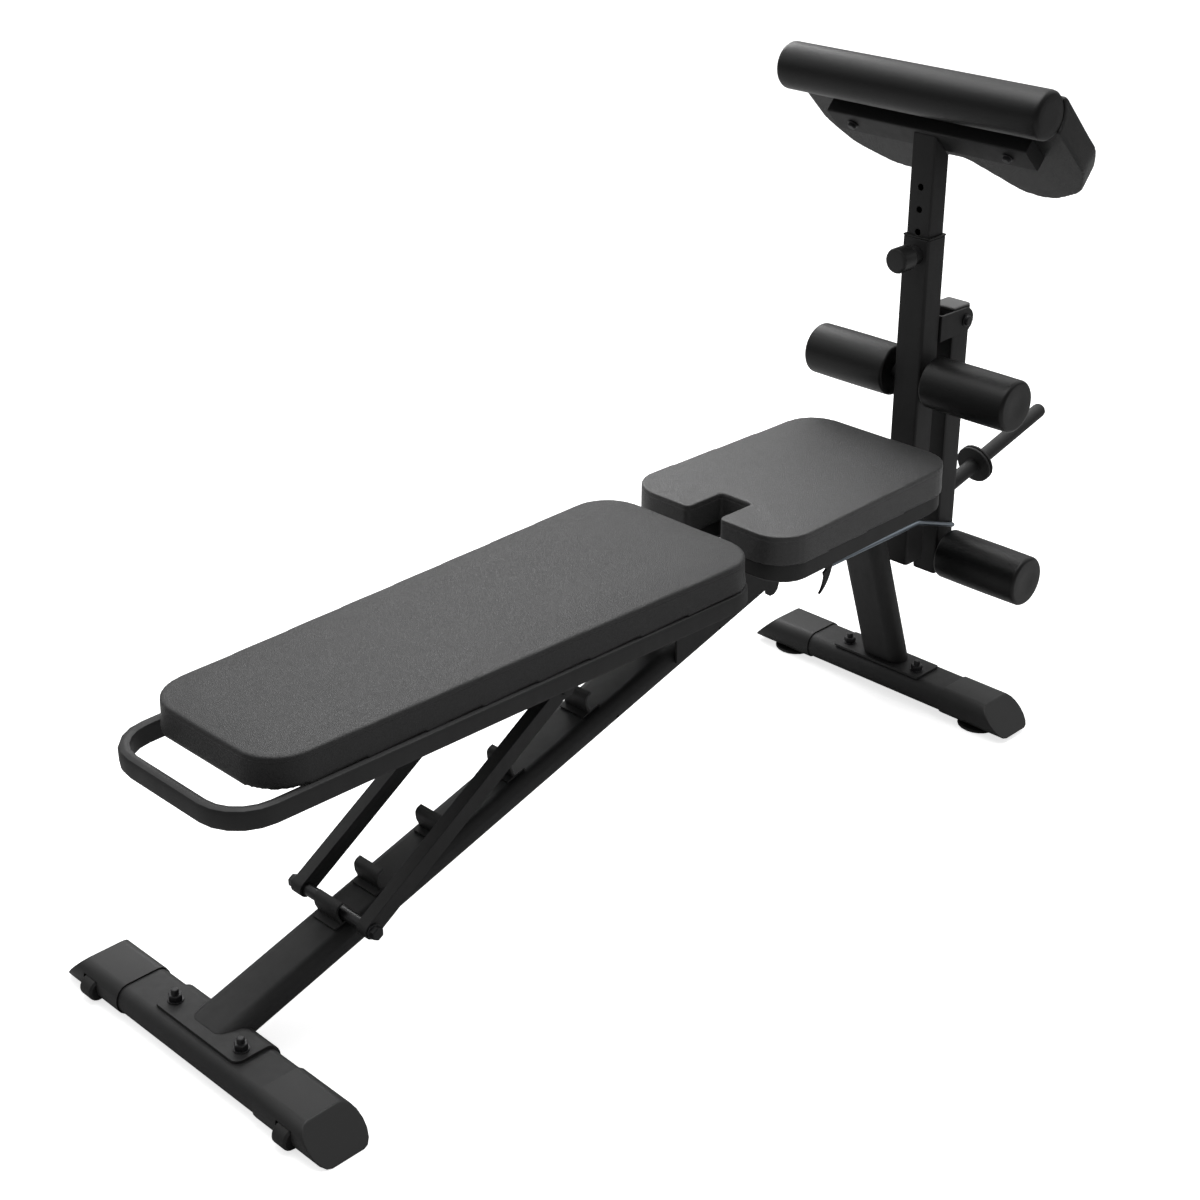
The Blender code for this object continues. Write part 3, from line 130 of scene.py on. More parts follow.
class Paint(Graph):
    """A Principled material textured in object coordinates."""

    def __init__(self, name):
        self.material = bpy.data.materials.new(name)
        self.material.use_nodes = True
        super().__init__(self.material.node_tree)
        self.shader = self.tree.nodes["Principled BSDF"]
        self.coords = self.add("ShaderNodeTexCoord")
        self.normal = None

    def mapped(self, texture, stretch=(1, 1, 1)):
        node = self.add("ShaderNodeMapping")
        node.inputs["Scale"].default_value = stretch
        self.link(self.coords.outputs["Object"], node.inputs["Vector"])
        self.link(node.outputs["Vector"], texture.inputs["Vector"])

    def noise(self, scale, detail, rough, stretch=(1, 1, 1), distortion=0.0):
        node = self.add("ShaderNodeTexNoise")
        node.inputs["Scale"].default_value = scale
        node.inputs["Detail"].default_value = detail
        node.inputs["Roughness"].default_value = rough
        node.inputs["Distortion"].default_value = distortion
        self.mapped(node, stretch)
        return node.outputs["Fac"]

    def cells(self, scale):
        """Distance to the nearest cell edge."""
        node = self.add("ShaderNodeTexVoronoi", feature="DISTANCE_TO_EDGE")
        node.inputs["Scale"].default_value = scale
        self.mapped(node)
        return node.outputs["Distance"]

    def colour(self, socket):
        self.link(socket, self.shader.inputs["Base Color"])

    def rough(self, socket):
        self.link(socket, self.shader.inputs["Roughness"])

    def bump(self, height, strength, distance):
        """Adds relief on top of any bumps made before it."""
        node = self.add("ShaderNodeBump")
        node.inputs["Strength"].default_value = strength
        node.inputs["Distance"].default_value = distance
        self.link(height, node.inputs["Height"])
        if self.normal is not None:
            self.link(self.normal, node.inputs["Normal"])
        self.normal = node.outputs["Normal"]
        self.link(self.normal, self.shader.inputs["Normal"])

    def set(self, **values):
        for key, value in values.items():
            self.shader.inputs[key.replace("_", " ")].default_value = value


# ------------------------------------------------------------------ materials
def powder_coat(name, tone):
    """Matt black powder coat: pinhead texture, faint orange peel, dusty rubs."""
    paint = Paint(name)
    fine = paint.noise(scale=1500, detail=2, rough=0.6)
    peel = paint.noise(scale=230, detail=2, rough=0.5)
    patch = paint.noise(scale=7, detail=4, rough=0.6)
    rubs = paint.noise(scale=60, detail=5, rough=0.7, stretch=(1, 1, 0.25))
    shade = paint.weighted((paint.fit(patch, source=(0.3, 0.7)), 0.7), (fine, 0.3))
    high = (tone * 1.22, tone * 1.22, tone * 1.26)
    paint.colour(paint.blend(shade, low=(tone * 0.82,) * 3, high=high))
    rough = paint.fit(rubs, source=(0.25, 0.75), target=(0.50, 0.60))
    paint.rough(paint.plus(rough, fine, weight=0.05))
    paint.set(Metallic=0.0, IOR=1.48)
    paint.bump(peel, strength=0.10, distance=0.0002)
    paint.bump(fine, strength=0.16, distance=0.00010)
    return paint.material


def vinyl(
    name, tone, rough, grain, ior, sheen=0.08, speckle=0.8, relief=1.0, seam=None, up=Z
):
    """Grained upholstery vinyl: pebbled cells broken up by noise. seam is the
    height along up of a stitched line round the pad."""
    paint = Paint(name)
    cells = paint.cells(grain)
    fine = paint.noise(scale=grain * 1.9, detail=3, rough=0.6)
    soft = paint.noise(scale=22, detail=4, rough=0.55)
    cloud = paint.noise(scale=3.2, detail=3, rough=0.5)
    spots = paint.noise(scale=grain * 0.55, detail=2, rough=0.7)
    pebble = paint.fit(cells, source=(0.0, 0.28))
    cloud = paint.fit(cloud, source=(0.3, 0.7))
    # pebble also paints shade into the colour: the grooves between the cells are darker and
    # the cell tops lighter
    shade = paint.weighted((pebble, 0.30), (spots, speckle), (cloud, 0.10))
    high = (tone * 1.40, tone * 1.40, tone * 1.42)
    paint.colour(paint.blend(shade, low=(tone * 0.55,) * 3, high=high))
    # pebble tops are smoother; spots vary the gloss either way
    gloss = paint.fit(soft, source=(0.3, 0.7), target=(rough - 0.012, rough + 0.012))
    gloss = paint.maths("SUBTRACT", gloss, paint.maths("MULTIPLY", pebble, 0.12 * relief))
    spread = 0.07 * relief
    mottle = paint.fit(spots, source=(0.35, 0.65), target=(-spread, spread))
    paint.rough(paint.maths("ADD", gloss, mottle))
    paint.set(IOR=ior, Sheen_Weight=sheen, Sheen_Roughness=0.45)
    paint.bump(soft, strength=0.05, distance=0.0006)
    paint.bump(pebble, strength=0.60 * relief, distance=0.00036)
    paint.bump(fine, strength=0.30 * relief, distance=0.00020)
    if seam is not None:
        height = paint.add("ShaderNodeVectorMath", operation="DOT_PRODUCT")
        paint.link(paint.coords.outputs["Object"], height.inputs[0])
        height.inputs[1].default_value = up
        offset = paint.maths("SUBTRACT", height.outputs["Value"], seam)
        away = paint.maths("ABSOLUTE", offset, 0)
        groove = paint.fit(away, source=(0.0, 0.0011))
        paint.bump(groove, strength=0.55, distance=0.0009)
    return paint.material


def plastic(name, tone, rough, texture):
    """Moulded plastic with a spark-eroded texture and faint flow marks."""
    paint = Paint(name)
    spark = paint.noise(scale=texture, detail=2, rough=0.7)
    flow = paint.noise(scale=14, detail=3, rough=0.5, stretch=(1, 0.3, 1), distortion=0.8)
    scuff = paint.fit(paint.noise(scale=95, detail=6, rough=0.75), source=(0.56, 0.74))
    shade = paint.weighted((flow, 0.5), (spark, 0.35))
    paint.colour(paint.blend(shade, low=(tone * 0.80,) * 3, high=(tone * 1.25,) * 3))
    gloss = paint.fit(flow, source=(0.3, 0.7), target=(rough - 0.03, rough + 0.04))
    paint.rough(paint.plus(gloss, scuff, weight=0.06))
    paint.set(IOR=1.47)
    paint.bump(spark, strength=0.20, distance=0.00012)
    paint.bump(scuff, strength=0.05, distance=0.0001)
    return paint.material


def steel(name, low, high, rough, metallic):
    """Fastener and wire steel: plated or oxide, with drawn marks."""
    paint = Paint(name)
    drawn = paint.noise(scale=420, detail=4, rough=0.7, stretch=(0.15, 1, 1))
    patch = paint.noise(scale=40, detail=4, rough=0.6)
    shade = paint.maths("MULTIPLY", paint.maths("ADD", drawn, patch), 0.5)
    paint.colour(paint.blend(shade, low, high))
    paint.rough(paint.fit(patch, source=(0.3, 0.7), target=(rough - 0.05, rough + 0.07)))
    paint.set(Metallic=metallic, IOR=1.5)
    paint.bump(drawn, strength=0.12, distance=0.00008)
    return paint.material


def rubber(name):
    """Dull rubber with patches of dust."""
    paint = Paint(name)
    grain = paint.noise(scale=700, detail=3, rough=0.7)
    dust = paint.fit(paint.noise(scale=35, detail=5, rough=0.7), source=(0.45, 0.75))
    paint.colour(paint.blend(dust, low=(0.009, 0.009, 0.009), high=(0.020, 0.019, 0.018)))
    paint.rough(paint.fit(dust, source=(0, 1), target=(0.62, 0.80)))
    paint.bump(grain, strength=0.25, distance=0.00015)
    return paint.material


COAT = powder_coat("powder_coat", tone=0.0150)
FOAM = vinyl(
    "roller_skin", tone=0.0050, rough=0.36, grain=1150, ior=1.42, sheen=0.0,
    speckle=0.25, relief=0.3,
)
SHELL = plastic("pad_shell_plastic", tone=0.0170, rough=0.55, texture=750)
CAP = plastic("cap_plastic", tone=0.0140, rough=0.47, texture=820)
KNOB = plastic("knob_plastic", tone=0.0150, rough=0.38, texture=1100)
# painted highlight: the arm's top cap is black plastic, and this light grey stands in for
# the light falling on its top
CAP_PAINTED_HIGHLIGHT = plastic("arm_cap_painted_highlight", tone=0.1650, rough=0.48, texture=820)
ZINC = steel(
    "zinc_wire", low=(0.16, 0.19, 0.22), high=(0.34, 0.39, 0.44), rough=0.34, metallic=1.0
)
BOLT = steel(
    "black_oxide", low=(0.010, 0.010, 0.011), high=(0.030, 0.030, 0.032), rough=0.36,
    metallic=0.35,
)
RUBBER = rubber("rubber_dull")


# ------------------------------------------------------------------ CAD nodes
# edge rounding: width, segments
EDGES = {
    "back_frame": (0.0030, 3),
    "strut_left": (0.0016, 3),
    "strut_right": (0.0016, 3),
    "pivot_bracket": (0.0006, 2),
    "upright_tube": (0.0022, 3),
    "arm_tube": (0.0022, 3),
}
PLAIN_EDGE = (0.0007, 2)


def finish_of(name):
    if "cap_" in name or name in ("upright_bush", "arm_bottom_cap"):
        return CAP
    # the light grey given here is a painted highlight on a black cap
    if name == "arm_top_cap":
        return CAP_PAINTED_HIGHLIGHT
    if name == "pull_pin":
        return KNOB
    if name == "latch_wire":
        return ZINC
    if "bolt" in name or name in ("strut_foot_rod", "seat_catch_bar"):
        return BOLT
    if name.startswith(("wheel", "levelling")):
        return RUBBER
    if "board" in name:
        return SHELL
    return COAT


def dress(name):
    """Material, welded shading and a small rounding on a carried-over node."""
    obj = nodes[name]
    material = finish_of(name)
    if not obj.material_slots:
        obj.data.materials.append(material)
    for slot in obj.material_slots:
        slot.link = "OBJECT"
        slot.material = material
    obj.data.shade_smooth()
    weld = obj.modifiers.new("weld", "WELD")
    weld.merge_threshold = 0.000005
    bevel = obj.modifiers.new("edge_round", "BEVEL")
    bevel.width, bevel.segments = EDGES.get(name, PLAIN_EDGE)
    bevel.limit_method = "ANGLE"
    bevel.angle_limit = math.radians(38)
    bevel.use_clamp_overlap = True
    bevel.miter_outer = "MITER_ARC"
    weighted = obj.modifiers.new("weighted", "WEIGHTED_NORMAL")
    weighted.keep_sharp = False
    weighted.weight = 60


for name in nodes:
    dress(name)


# ------------------------------------------------------------------ mesh tools
def new_object(name, rings, material):
    """Solid skinned over rings of points; a ring of one point is a tip."""
    solid = bmesh.new()
    made = [[solid.verts.new(point) for point in ring] for ring in rings]
    for low, high in zip(made, made[1:]):
        count = max(len(low), len(high))
        for i in range(count):
            j = (i + 1) % count
            if len(low) == 1:
                solid.faces.new((low[0], high[j], high[i]))
            elif len(high) == 1:
                solid.faces.new((low[i], low[j], high[0]))
            else:
                solid.faces.new((low[i], low[j], high[j], high[i]))
    if len(made[0]) > 1:
        solid.faces.new(list(reversed(made[0])))
    if len(made[-1]) > 1:
        solid.faces.new(made[-1])
    bmesh.ops.recalc_face_normals(solid, faces=solid.faces)
    mesh = bpy.data.meshes.new(name)
    solid.to_mesh(mesh)
    solid.free()
    obj = bpy.data.objects.new(name, mesh)
    scene.collection.objects.link(obj)
    mesh.materials.append(material)
    return obj


def fillet(before, corner, after, radius):
    """Centre of a corner's arc, and the arms to its start and end."""
    corner = Vector(corner[:2])
    back = (Vector(before[:2]) - corner).normalized()
    ahead = (Vector(after[:2]) - corner).normalized()
    half_angle = back.angle(ahead) / 2
    centre = corner + (back + ahead).normalized() * (radius / math.sin(half_angle))
    reach = radius / math.tan(half_angle)
    return centre, corner + back * reach - centre, corner + ahead * reach - centre


def rounded_corners(points, steps):
    """Closed outline of (a, b, radius)."""
    outline = []
    for i, (a, b, radius) in enumerate(points):
        if radius <= 0:
            outline.append((a, b))
            continue
        after = points[(i + 1) % len(points)]
        centre, start, end = fillet(points[i - 1], (a, b), after, radius)
        turn = start.angle_signed(end)
        for j in range(steps + 1):
            arm = start.copy()
            arm.rotate(Matrix.Rotation(-turn * j / steps, 2))
            outline.append((centre.x + arm.x, centre.y + arm.y))
    return outline


def apply_all(obj):
    graph = bpy.context.evaluated_depsgraph_get()
    mesh = bpy.data.meshes.new_from_object(obj.evaluated_get(graph))
    obj.modifiers.clear()
    old = obj.data
    obj.data = mesh
    bpy.data.meshes.remove(old)


def get_points(mesh):
    points = np.empty(len(mesh.vertices) * 3)
    mesh.vertices.foreach_get("co", points)
    return points.reshape(-1, 3)


def set_points(mesh, points):
    mesh.vertices.foreach_set("co", points.astype(np.float32).ravel())
    mesh.update()


def even_out(field, mesh, rounds):
    """Averages a per-vertex field over its neighbours."""
    edges = np.empty(len(mesh.edges) * 2, np.int32)
    mesh.edges.foreach_get("vertices", edges)
    start, end = edges.reshape(-1, 2).T
    count = np.zeros(len(field))
    np.add.at(count, start, 1)
    np.add.at(count, end, 1)
    for _ in range(rounds):
        total = np.zeros_like(field)
        for k in range(field.shape[1]):
            total[:, k] = np.bincount(start, field[end, k], len(field)) + np.bincount(
                end, field[start, k], len(field)
            )
        field = 0.5 * field + 0.5 * total / np.maximum(count, 1)[:, None]
    return field


# ------------------------------------------------------------------ upholstery
CLOTH_FRAMES = 20
MOUNTED_HEIGHT = 0.006  # cloth below this is held to the board


def remesh(obj, voxel, rounds, hold_base=True):
    """Voxel remesh, then smoothing that can leave the underside as it was."""
    modifier = obj.modifiers.new("remesh", "REMESH")
    modifier.mode = "VOXEL"
    modifier.voxel_size = voxel
    apply_all(obj)
    base = get_points(obj.data)
    points = even_out(base, obj.data, rounds)
    if hold_base:
        # smoothing fades in from 3 to 9 mm above the underside
        free = np.clip((base[:, 2:3] - 0.003) / 0.006, 0, 1)
        points = base + (points - base) * free
    set_points(obj.data, points)


def swell(obj, cap):
    """Cloth run with air pressure; returns rest points and capped moves."""
    before = get_points(obj.data)
    group = obj.vertex_groups.new(name="mounted")
    held = [i for i, z in enumerate(before[:, 2]) if z < MOUNTED_HEIGHT]
    group.add(held, 1.0, "REPLACE")
    cloth = obj.modifiers.new("cloth", "CLOTH")
    settings = cloth.settings
    settings.quality = 5
    settings.mass = 0.3
    settings.tension_stiffness = 25
    settings.compression_stiffness = 25
    settings.shear_stiffness = 12
    settings.bending_stiffness = 2.0
    settings.use_pressure = True
    settings.uniform_pressure_force = 4.0
    settings.vertex_group_mass = "mounted"
    settings.effector_weights.gravity = 0.0
    cloth.collision_settings.use_collision = False
    cloth.point_cache.frame_start = 1
    cloth.point_cache.frame_end = CLOTH_FRAMES
    for frame in range(1, CLOTH_FRAMES + 1):
        scene.frame_set(frame)
    apply_all(obj)
    scene.frame_set(1)
    move = get_points(obj.data) - before
    length = np.linalg.norm(move, axis=1, keepdims=True)
    move *= np.minimum(1.0, cap / np.maximum(length, 1e-9))
    return before, even_out(move, obj.data, rounds=6)


def carry(points, rest, swelling):
    """Moves for points, weighted from the four nearest rest points."""
    tree = kdtree.KDTree(len(rest))
    for i, point in enumerate(rest):
        tree.insert(point, i)
    tree.balance()
    move = np.empty_like(points)
    for i, point in enumerate(points):
        near = tree.find_n(point, 4)
        weight = np.array([1.0 / (distance + 1e-4) for _, _, distance in near])
        moves = swelling[[k for _, k, _ in near]]
        move[i] = (moves * weight[:, None]).sum(0) / weight.sum()
    return move


def hollow_out(block, name, centre, radius, material):
    """Cuts a cylinder along Y, centred on (x, z), out of the block."""
    sides, half_length = 96, 0.3
    turns = [2 * math.pi * k / sides for k in range(sides)]
    rings = [
        [
            (centre[0] + radius * math.cos(turn), y, centre[1] + radius * math.sin(turn))
            for turn in turns
        ]
        for y in (-half_length, half_length)
    ]
    tool = new_object(name, rings, material)
    cut = block.modifiers.new("hollow", "BOOLEAN")
    cut.operation = "DIFFERENCE"
    cut.solver = "EXACT"
    cut.object = tool
    apply_all(block)
    bpy.data.objects.remove(tool, do_unlink=True)


def upholster(
    name, outline, thickness, origin, axes, material, voxel, fine, cap, outset,
    rounds=3, hollow=None, hold_base=True,
):
    """Padded cushion from an outline on the first two axes at the origin. A
    block of it, outset a little, is blown up as cloth at the coarse voxel size,
    and its swelling, up to cap, is carried to a finer cover."""
    count = len(outline)
    area = sum(
        outline[i - 1][0] * outline[i][1] - outline[i][0] * outline[i - 1][1]
        for i in range(count)
    )
    sign = 1 if area > 0 else -1
    edge = []
    for i, (a, b) in enumerate(outline):
        along = (Vector(outline[(i + 1) % count]) - Vector(outline[i - 1])).normalized()
        edge.append(Vector((a + sign * along.y * outset, b - sign * along.x * outset)))
    rings = [[(point.x, point.y, z) for point in edge] for z in (0.0, thickness + 0.0006)]
    block = new_object(name + "_block", rings, material)
    if hollow:
        hollow_out(block, name + "_tool", *hollow, material)
    cover = block.copy()
    cover.data = block.data.copy()
    cover.name = name
    scene.collection.objects.link(cover)
    remesh(cover, fine, rounds, hold_base)
    points = get_points(cover.data)
    remesh(block, voxel, rounds=2)
    rest, swelling = swell(block, cap)
    move = even_out(carry(points, rest, swelling), cover.data, rounds=50)
    bpy.data.objects.remove(block, do_unlink=True)
    # the swelling fades out over the lowest 10 mm
    move *= np.clip(points[:, 2] / 0.010, 0, 1)[:, None]
    set_points(cover.data, points + move)
    placing = Matrix([(*axis, 0) for axis in axes] + [(0, 0, 0, 1)]).transposed()
    placing.translation = origin
    cover.data.transform(placing)
    cover.data.materials.clear()
    cover.data.materials.append(material)
    cover.data.shade_smooth()
    return cover


def register(obj, rides_on, replaced):
    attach(obj, rides_on)
    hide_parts(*replaced)


# ------------------------------------------------------------------ flat pads
SEAM_DROP = 0.0075  # stitched line below the top of every pad


def flat_pad(part, outline, low, high, tone, rough, ior, **padding):
    """Level pad filling the box low..high, its outline about the box's middle."""
    material = vinyl(
        part + "_vinyl", tone, rough, grain=520, ior=ior, seam=high.z - SEAM_DROP
    )
    origin = ((low.x + high.x) / 2, 0, low.z + 0.0001)
    pad = upholster(
        part + "_cushion", outline, high.z - low.z, origin, (X, Y, Z), material, **padding
    )
    register(pad, part, [part + "_pad"])


def back_pad():
    """Back pad, narrower at its low X end."""
    low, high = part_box("back_pad")
    wide = high.y
    narrow = wide * 0.1303 / 0.1584
    reach = (low.x + high.x) / 2
    start, end = low.x - reach, high.x - reach
    radius = 0.062
    corners = [
        (start, -narrow, radius), (end, -wide, radius),
        (end, wide, radius), (start, narrow, radius),
    ]
    # the narrow end, more than 0.2 m from the middle, is drawn out a little
    stretch = 0.0042
    outline = [(a - stretch * (a < -0.2), b) for a, b in rounded_corners(corners, steps=12)]
    # painted light: the back, seat and curl covers are one black vinyl, and the tone given
    # here is made lighter or darker for how this pad is lit
    flat_pad(
        "back", outline, low, high, tone=0.0240, rough=0.50, ior=1.40,
        voxel=0.0060, fine=0.0030, cap=0.0025, outset=0.0018,
    )


def seat_pad():
    """Seat pad, wider at its low X end, where a slot is notched in."""
    low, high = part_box("seat_pad")
    wide = high.y
    narrow = wide * 0.1465 / 0.1580
    middle = (low.x + high.x) / 2
    start, end = low.x - middle, high.x - middle
    notch, depth = 0.031, 0.074  # half width and length of the slot
    mouth, inner, radius = 0.008, 0.006, 0.055  # corner radii
    notch_end = low.x + depth - middle
    corners = [
        (start, notch, mouth), (notch_end, notch, inner),
        (notch_end, -notch, inner), (start, -notch, mouth),
        (start, -wide, radius), (end, -narrow, radius),
        (end, narrow, radius), (start, wide, radius),
    ]
    # painted light: the back, seat and curl covers are one black vinyl, and the tone given
    # here is made lighter or darker for how this pad is lit
    flat_pad(
        "seat", rounded_corners(corners, steps=8), low, high, tone=0.0310, rough=0.46,
        ior=1.60, voxel=0.0052, fine=0.0025, cap=0.0006, outset=0.0013, rounds=2,
    )


back_pad()
seat_pad()

# ------------------------------------------------------------------ curl pad
CURL_SLOPE = math.radians(44.3)
CURL_THICKNESS = 0.0436
# roll axis from the pad's origin: along the slope, and square to it
ROLL_ALONG, ROLL_HEIGHT = -0.0443, 0.0039
# +Y half of the outline: down the slope, across, corner radius
CURL_HALF = [
    (-0.0350, 0.2400, 0.0),
    (0.020, 0.2415, 0.03),
    (0.096, 0.2415, 0.060),
    (0.156, 0.2140, 0.055),
    (0.1975, 0.1500, 0.055),
    (0.1970, 0.0960, 0.045),
    (0.1560, 0.0500, 0.045),
    (0.1280, 0.0170, 0.022),
]

roll_low, roll_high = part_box("preacher_roll")
roll_centre = (roll_low + roll_high) / 2
roll_radius = (roll_high.z - roll_low.z) / 2
roll_half = roll_high.y


def curl_outline():
    """Two lobes, evened out except along the straight edge at the roll."""
    mirrored = [(s, -y, radius) for s, y, radius in reversed(CURL_HALF)]
    corners = rounded_corners(CURL_HALF + mirrored, steps=14)
    spacing, straight_end = 0.004, 0.012
    dense = []
    for (a, b), (c, d) in zip(corners, corners[1:] + corners[:1]):
        steps = max(1, round(math.hypot(c - a, d - b) / spacing))
        dense += [(a + (c - a) * k / steps, b + (d - b) * k / steps) for k in range(steps)]
    for _ in range(18):
        around = zip(dense[-1:] + dense[:-1], dense, dense[1:] + dense[:1])
        dense = [
            here
            if here[0] < straight_end
            else tuple(0.5 * here[k] + 0.25 * (last[k] + after[k]) for k in (0, 1))
            for last, here, after in around
        ]
    return dense


def curl_pad():
    """Sloping pad, hollowed for the roll; the cover takes in its board too."""
    down = Vector((math.cos(CURL_SLOPE), 0, -math.sin(CURL_SLOPE)))
    normal = Vector((math.sin(CURL_SLOPE), 0, math.cos(CURL_SLOPE)))
    origin = roll_centre - down * ROLL_ALONG - normal * ROLL_HEIGHT
    top = origin.dot(normal) + CURL_THICKNESS
    # painted light: the back, seat and curl covers are one black vinyl, and the tone given
    # here is made lighter or darker for how this pad is lit
    material = vinyl(
        "curl_vinyl", tone=0.0130, rough=0.48, grain=620, ior=1.42, sheen=0.02,
        seam=top - SEAM_DROP, up=normal,
    )
    pad = upholster(
        "curl_cushion", curl_outline(), CURL_THICKNESS, origin, (down, Y, normal),
        material, voxel=0.0052, fine=0.0027, cap=0.0020, outset=0.0002,
        hollow=((ROLL_ALONG, ROLL_HEIGHT), roll_radius - 0.0020), hold_base=False,
    )
    register(pad, "preacher", ["preacher_cushion", "preacher_board"])


curl_pad()


# ------------------------------------------------------------------ rolls
def lathe(name, centre, side, profile, count):
    """Turns (along, radius) stations about Y; along runs toward side * Y."""
    axis = Y * side
    across = axis.cross(X)
    rings = []
    for along, radius in profile:
        base = centre + axis * along
        if radius == 0:
            rings.append([base])
            continue
        turns = [2 * math.pi * k / count for k in range(count)]
        rings.append(
            [
                base + X * (radius * math.cos(turn)) + across * (radius * math.sin(turn))
                for turn in turns
            ]
        )
    obj = new_object(name, rings, FOAM)
    obj.data.shade_smooth()
    obj.data.set_sharp_from_angle(angle=math.radians(45))
    return obj


def bend(points, steps):
    """Arcs at the inner points (along, r, radius) of an open line."""
    line = []
    for before, corner, after in zip(points, points[1:], points[2:]):
        centre, start, end = fillet(before, corner, after, corner[2])
        for j in range(steps + 1):
            arm = start.lerp(end, j / steps).normalized() * corner[2]
            line.append((centre.x + arm.x, centre.y + arm.y))
    return line


def curl_roll():
    """Vinyl-covered roll at the curl pad, with softly rounded ends."""
    # along, radius, from the middle of one end face to the barrel
    end = [
        (-roll_half, 0),
        (-roll_half, roll_radius * 0.45),
        (-roll_half, roll_radius - 0.0075),
        (-roll_half + 0.0007, roll_radius - 0.0045),
        (-roll_half + 0.0022, roll_radius - 0.0022),
        (-roll_half + 0.0045, roll_radius - 0.0006),
        (-roll_half + 0.0080, roll_radius),
    ]
    steps, swelling = 26, 0.0003
    barrel = []
    for k in range(1, steps):
        t = -1 + 2 * k / steps
        radius = roll_radius + swelling * math.cos(t * math.pi / 2)
        barrel.append((t * (roll_half - 0.008), radius))
    profile = end + barrel + [(-along, radius) for along, radius in reversed(end)]
    roll = lathe("curl_roll", roll_centre, 1, profile, count=80)
    register(roll, "preacher", ["preacher_roll"])


def foam_roller(node, side):
    """Moulded foam roller, rounded at both ends, with a blind bore from its
    inner end."""
    low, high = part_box(node)
    radius = (high.z - low.z) / 2
    inner, outer = (low.y, high.y) if side > 0 else (-high.y, -low.y)
    bore = 0.0131
    bore_stop = outer - 0.0115
    hole = [(bore_stop, 0), (bore_stop, bore), (inner + 0.001, bore), (inner, bore + 0.001)]
    line = bend(
        [
            (inner, bore + 0.0012),
            (inner, radius, 0.0045),
            (outer, radius, 0.0060),
            (outer, 0.001),
        ],
        steps=7,
    )
    # stations along the long stretch give the foam its slight swell
    barrel = []
    for (a0, r0), (a1, r1) in zip(line, line[1:]):
        barrel.append((a0, r0))
        if a1 - a0 > 0.03:
            for k in range(1, 10):
                t = k / 10
                barrel.append((a0 + (a1 - a0) * t, r0 + 0.0005 * math.sin(math.pi * t)))
    barrel.append(line[-1])
    # shallow dish in the outer end
    dish = [
        (outer - 0.0003, radius * 0.42), (outer - 0.0008, radius * 0.30), (outer - 0.0008, 0)
    ]
    centre = Vector(((low.x + high.x) / 2, 0, (low.z + high.z) / 2))
    roller = lathe("foam_" + node, centre, side, hole + barrel + dish, count=64)
    register(roller, node + "_body", [node])


curl_roll()
for level in ("upper", "lower"):
    for side, word in ((1, "left"), (-1, "right")):
        foam_roller("roller_%s_%s" % (level, word), side)


# ------------------------------------------------------------------ stage
def pale_floor():
    """Floor that looks near white to the camera but reflects as mid grey."""
    half = 40
    mesh = bpy.data.meshes.new("floor")
    corners = [(-half, -half, 0), (half, -half, 0), (half, half, 0), (-half, half, 0)]
    mesh.from_pydata(corners, [], [(0, 1, 2, 3)])
    floor = bpy.data.objects.new("floor", mesh)
    floor.location.z = -0.0004
    scene.collection.objects.link(floor)
    paint = Paint("pale_floor")
    paint.set(Roughness=0.9, Specular_IOR_Level=0.0, Emission_Color=(1, 1, 1, 1))
    camera_ray = paint.add("ShaderNodeLightPath").outputs["Is Camera Ray"]
    pick = paint.mix(camera_ray)
    pick.inputs[MIX_A].default_value = (0.46, 0.46, 0.46, 1)
    cloud = paint.noise(scale=1.4, detail=2, rough=0.5)
    seen = paint.blend(cloud, low=(0.90, 0.90, 0.90), high=(0.93, 0.93, 0.93))
    paint.link(seen, pick.inputs[MIX_B])
    paint.colour(pick.outputs[MIX_RESULT])
    glow = paint.maths("MULTIPLY", camera_ray, 0.72)
    paint.link(glow, paint.shader.inputs["Emission Strength"])
    mesh.materials.append(paint.material)


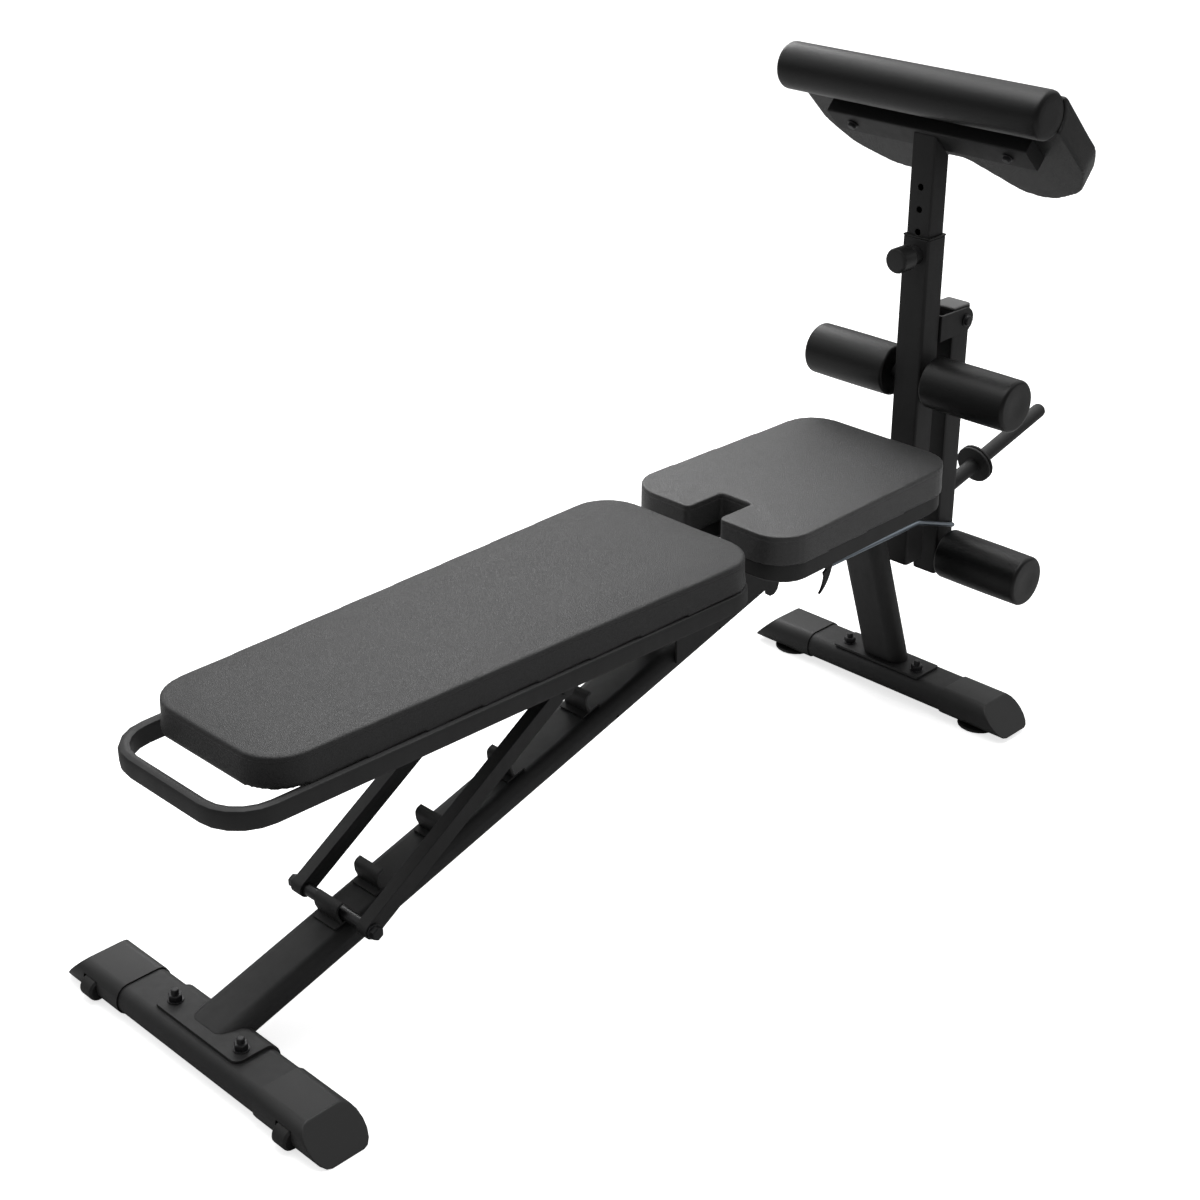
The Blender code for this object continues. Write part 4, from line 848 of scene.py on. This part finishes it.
def soft_studio():
    """White to the camera; as light, it fades toward the floor."""
    world = bpy.data.worlds.new("soft_studio")
    scene.world = world
    world.use_nodes = True
    graph = Graph(world.node_tree)
    background = graph.tree.nodes["Background"]
    path = graph.add("ShaderNodeLightPath")
    direction = graph.add("ShaderNodeTexCoord").outputs["Generated"]
    split = graph.add("ShaderNodeSeparateXYZ")
    graph.link(direction, split.inputs[0])
    ramp = graph.add("ShaderNodeValToRGB")
    # height of each stop and its grey level
    for stop, (height, grey) in zip(ramp.color_ramp.elements, ((0.02, 0.03), (0.42, 1.0))):
        stop.position = height
        stop.color = (grey, grey, grey, 1)
    graph.link(split.outputs["Z"], ramp.inputs[0])
    pick = graph.mix(path.outputs["Is Camera Ray"])
    # darker on the camera's side, so the faces toward the viewer stay deep
    side = graph.add("ShaderNodeVectorMath", operation="DOT_PRODUCT")
    side.inputs[1].default_value = (0.707, 0.707, 0.0)
    graph.link(direction, side.inputs[0])
    fall = graph.fit(side.outputs["Value"], source=(-0.55, 0.35), target=(0.22, 1.0))
    lit = graph.add("ShaderNodeVectorMath", operation="SCALE")
    graph.link(ramp.outputs[0], lit.inputs[0])
    graph.link(fall, lit.inputs["Scale"])
    graph.link(lit.outputs[0], pick.inputs[MIX_A])
    pick.inputs[MIX_B].default_value = (1, 1, 1, 1)
    graph.link(pick.outputs[MIX_RESULT], background.inputs["Color"])
    background.inputs["Strength"].default_value = 1.0


def disk_light(name, where, target, size, power):
    light = bpy.data.lights.new(name, "AREA")
    light.shape = "DISK"
    light.size = size
    light.energy = power
    obj = bpy.data.objects.new(name, light)
    obj.location = where
    obj.rotation_euler = (Vector(target) - Vector(where)).to_track_quat("-Z", "Y").to_euler()
    scene.collection.objects.link(obj)


def add_camera(where, lens, tilt_down, heading):
    data = bpy.data.cameras.new("camera")
    data.sensor_width = 36
    data.lens = lens
    data.clip_end = 200
    camera = bpy.data.objects.new("camera", data)
    camera.location = where
    camera.rotation_euler = (math.radians(90 - tilt_down), 0, math.radians(heading))
    scene.collection.objects.link(camera)
    scene.camera = camera


pale_floor()
soft_studio()
disk_light("overhead", where=(0.2, 0.2, 3.4), target=(0, 0, 0.3), size=3.0, power=70)
disk_light("back_rim", where=(1.8, 2.6, 2.4), target=(0.1, 0, 0.5), size=1.6, power=26)
add_camera(where=(-2.0376, -1.8581, 1.7114), lens=62.92, tilt_down=26.458, heading=-45.204)
scene.view_settings.view_transform = "Standard"
scene.view_settings.look = "None"

bpy.context.view_layer.update()
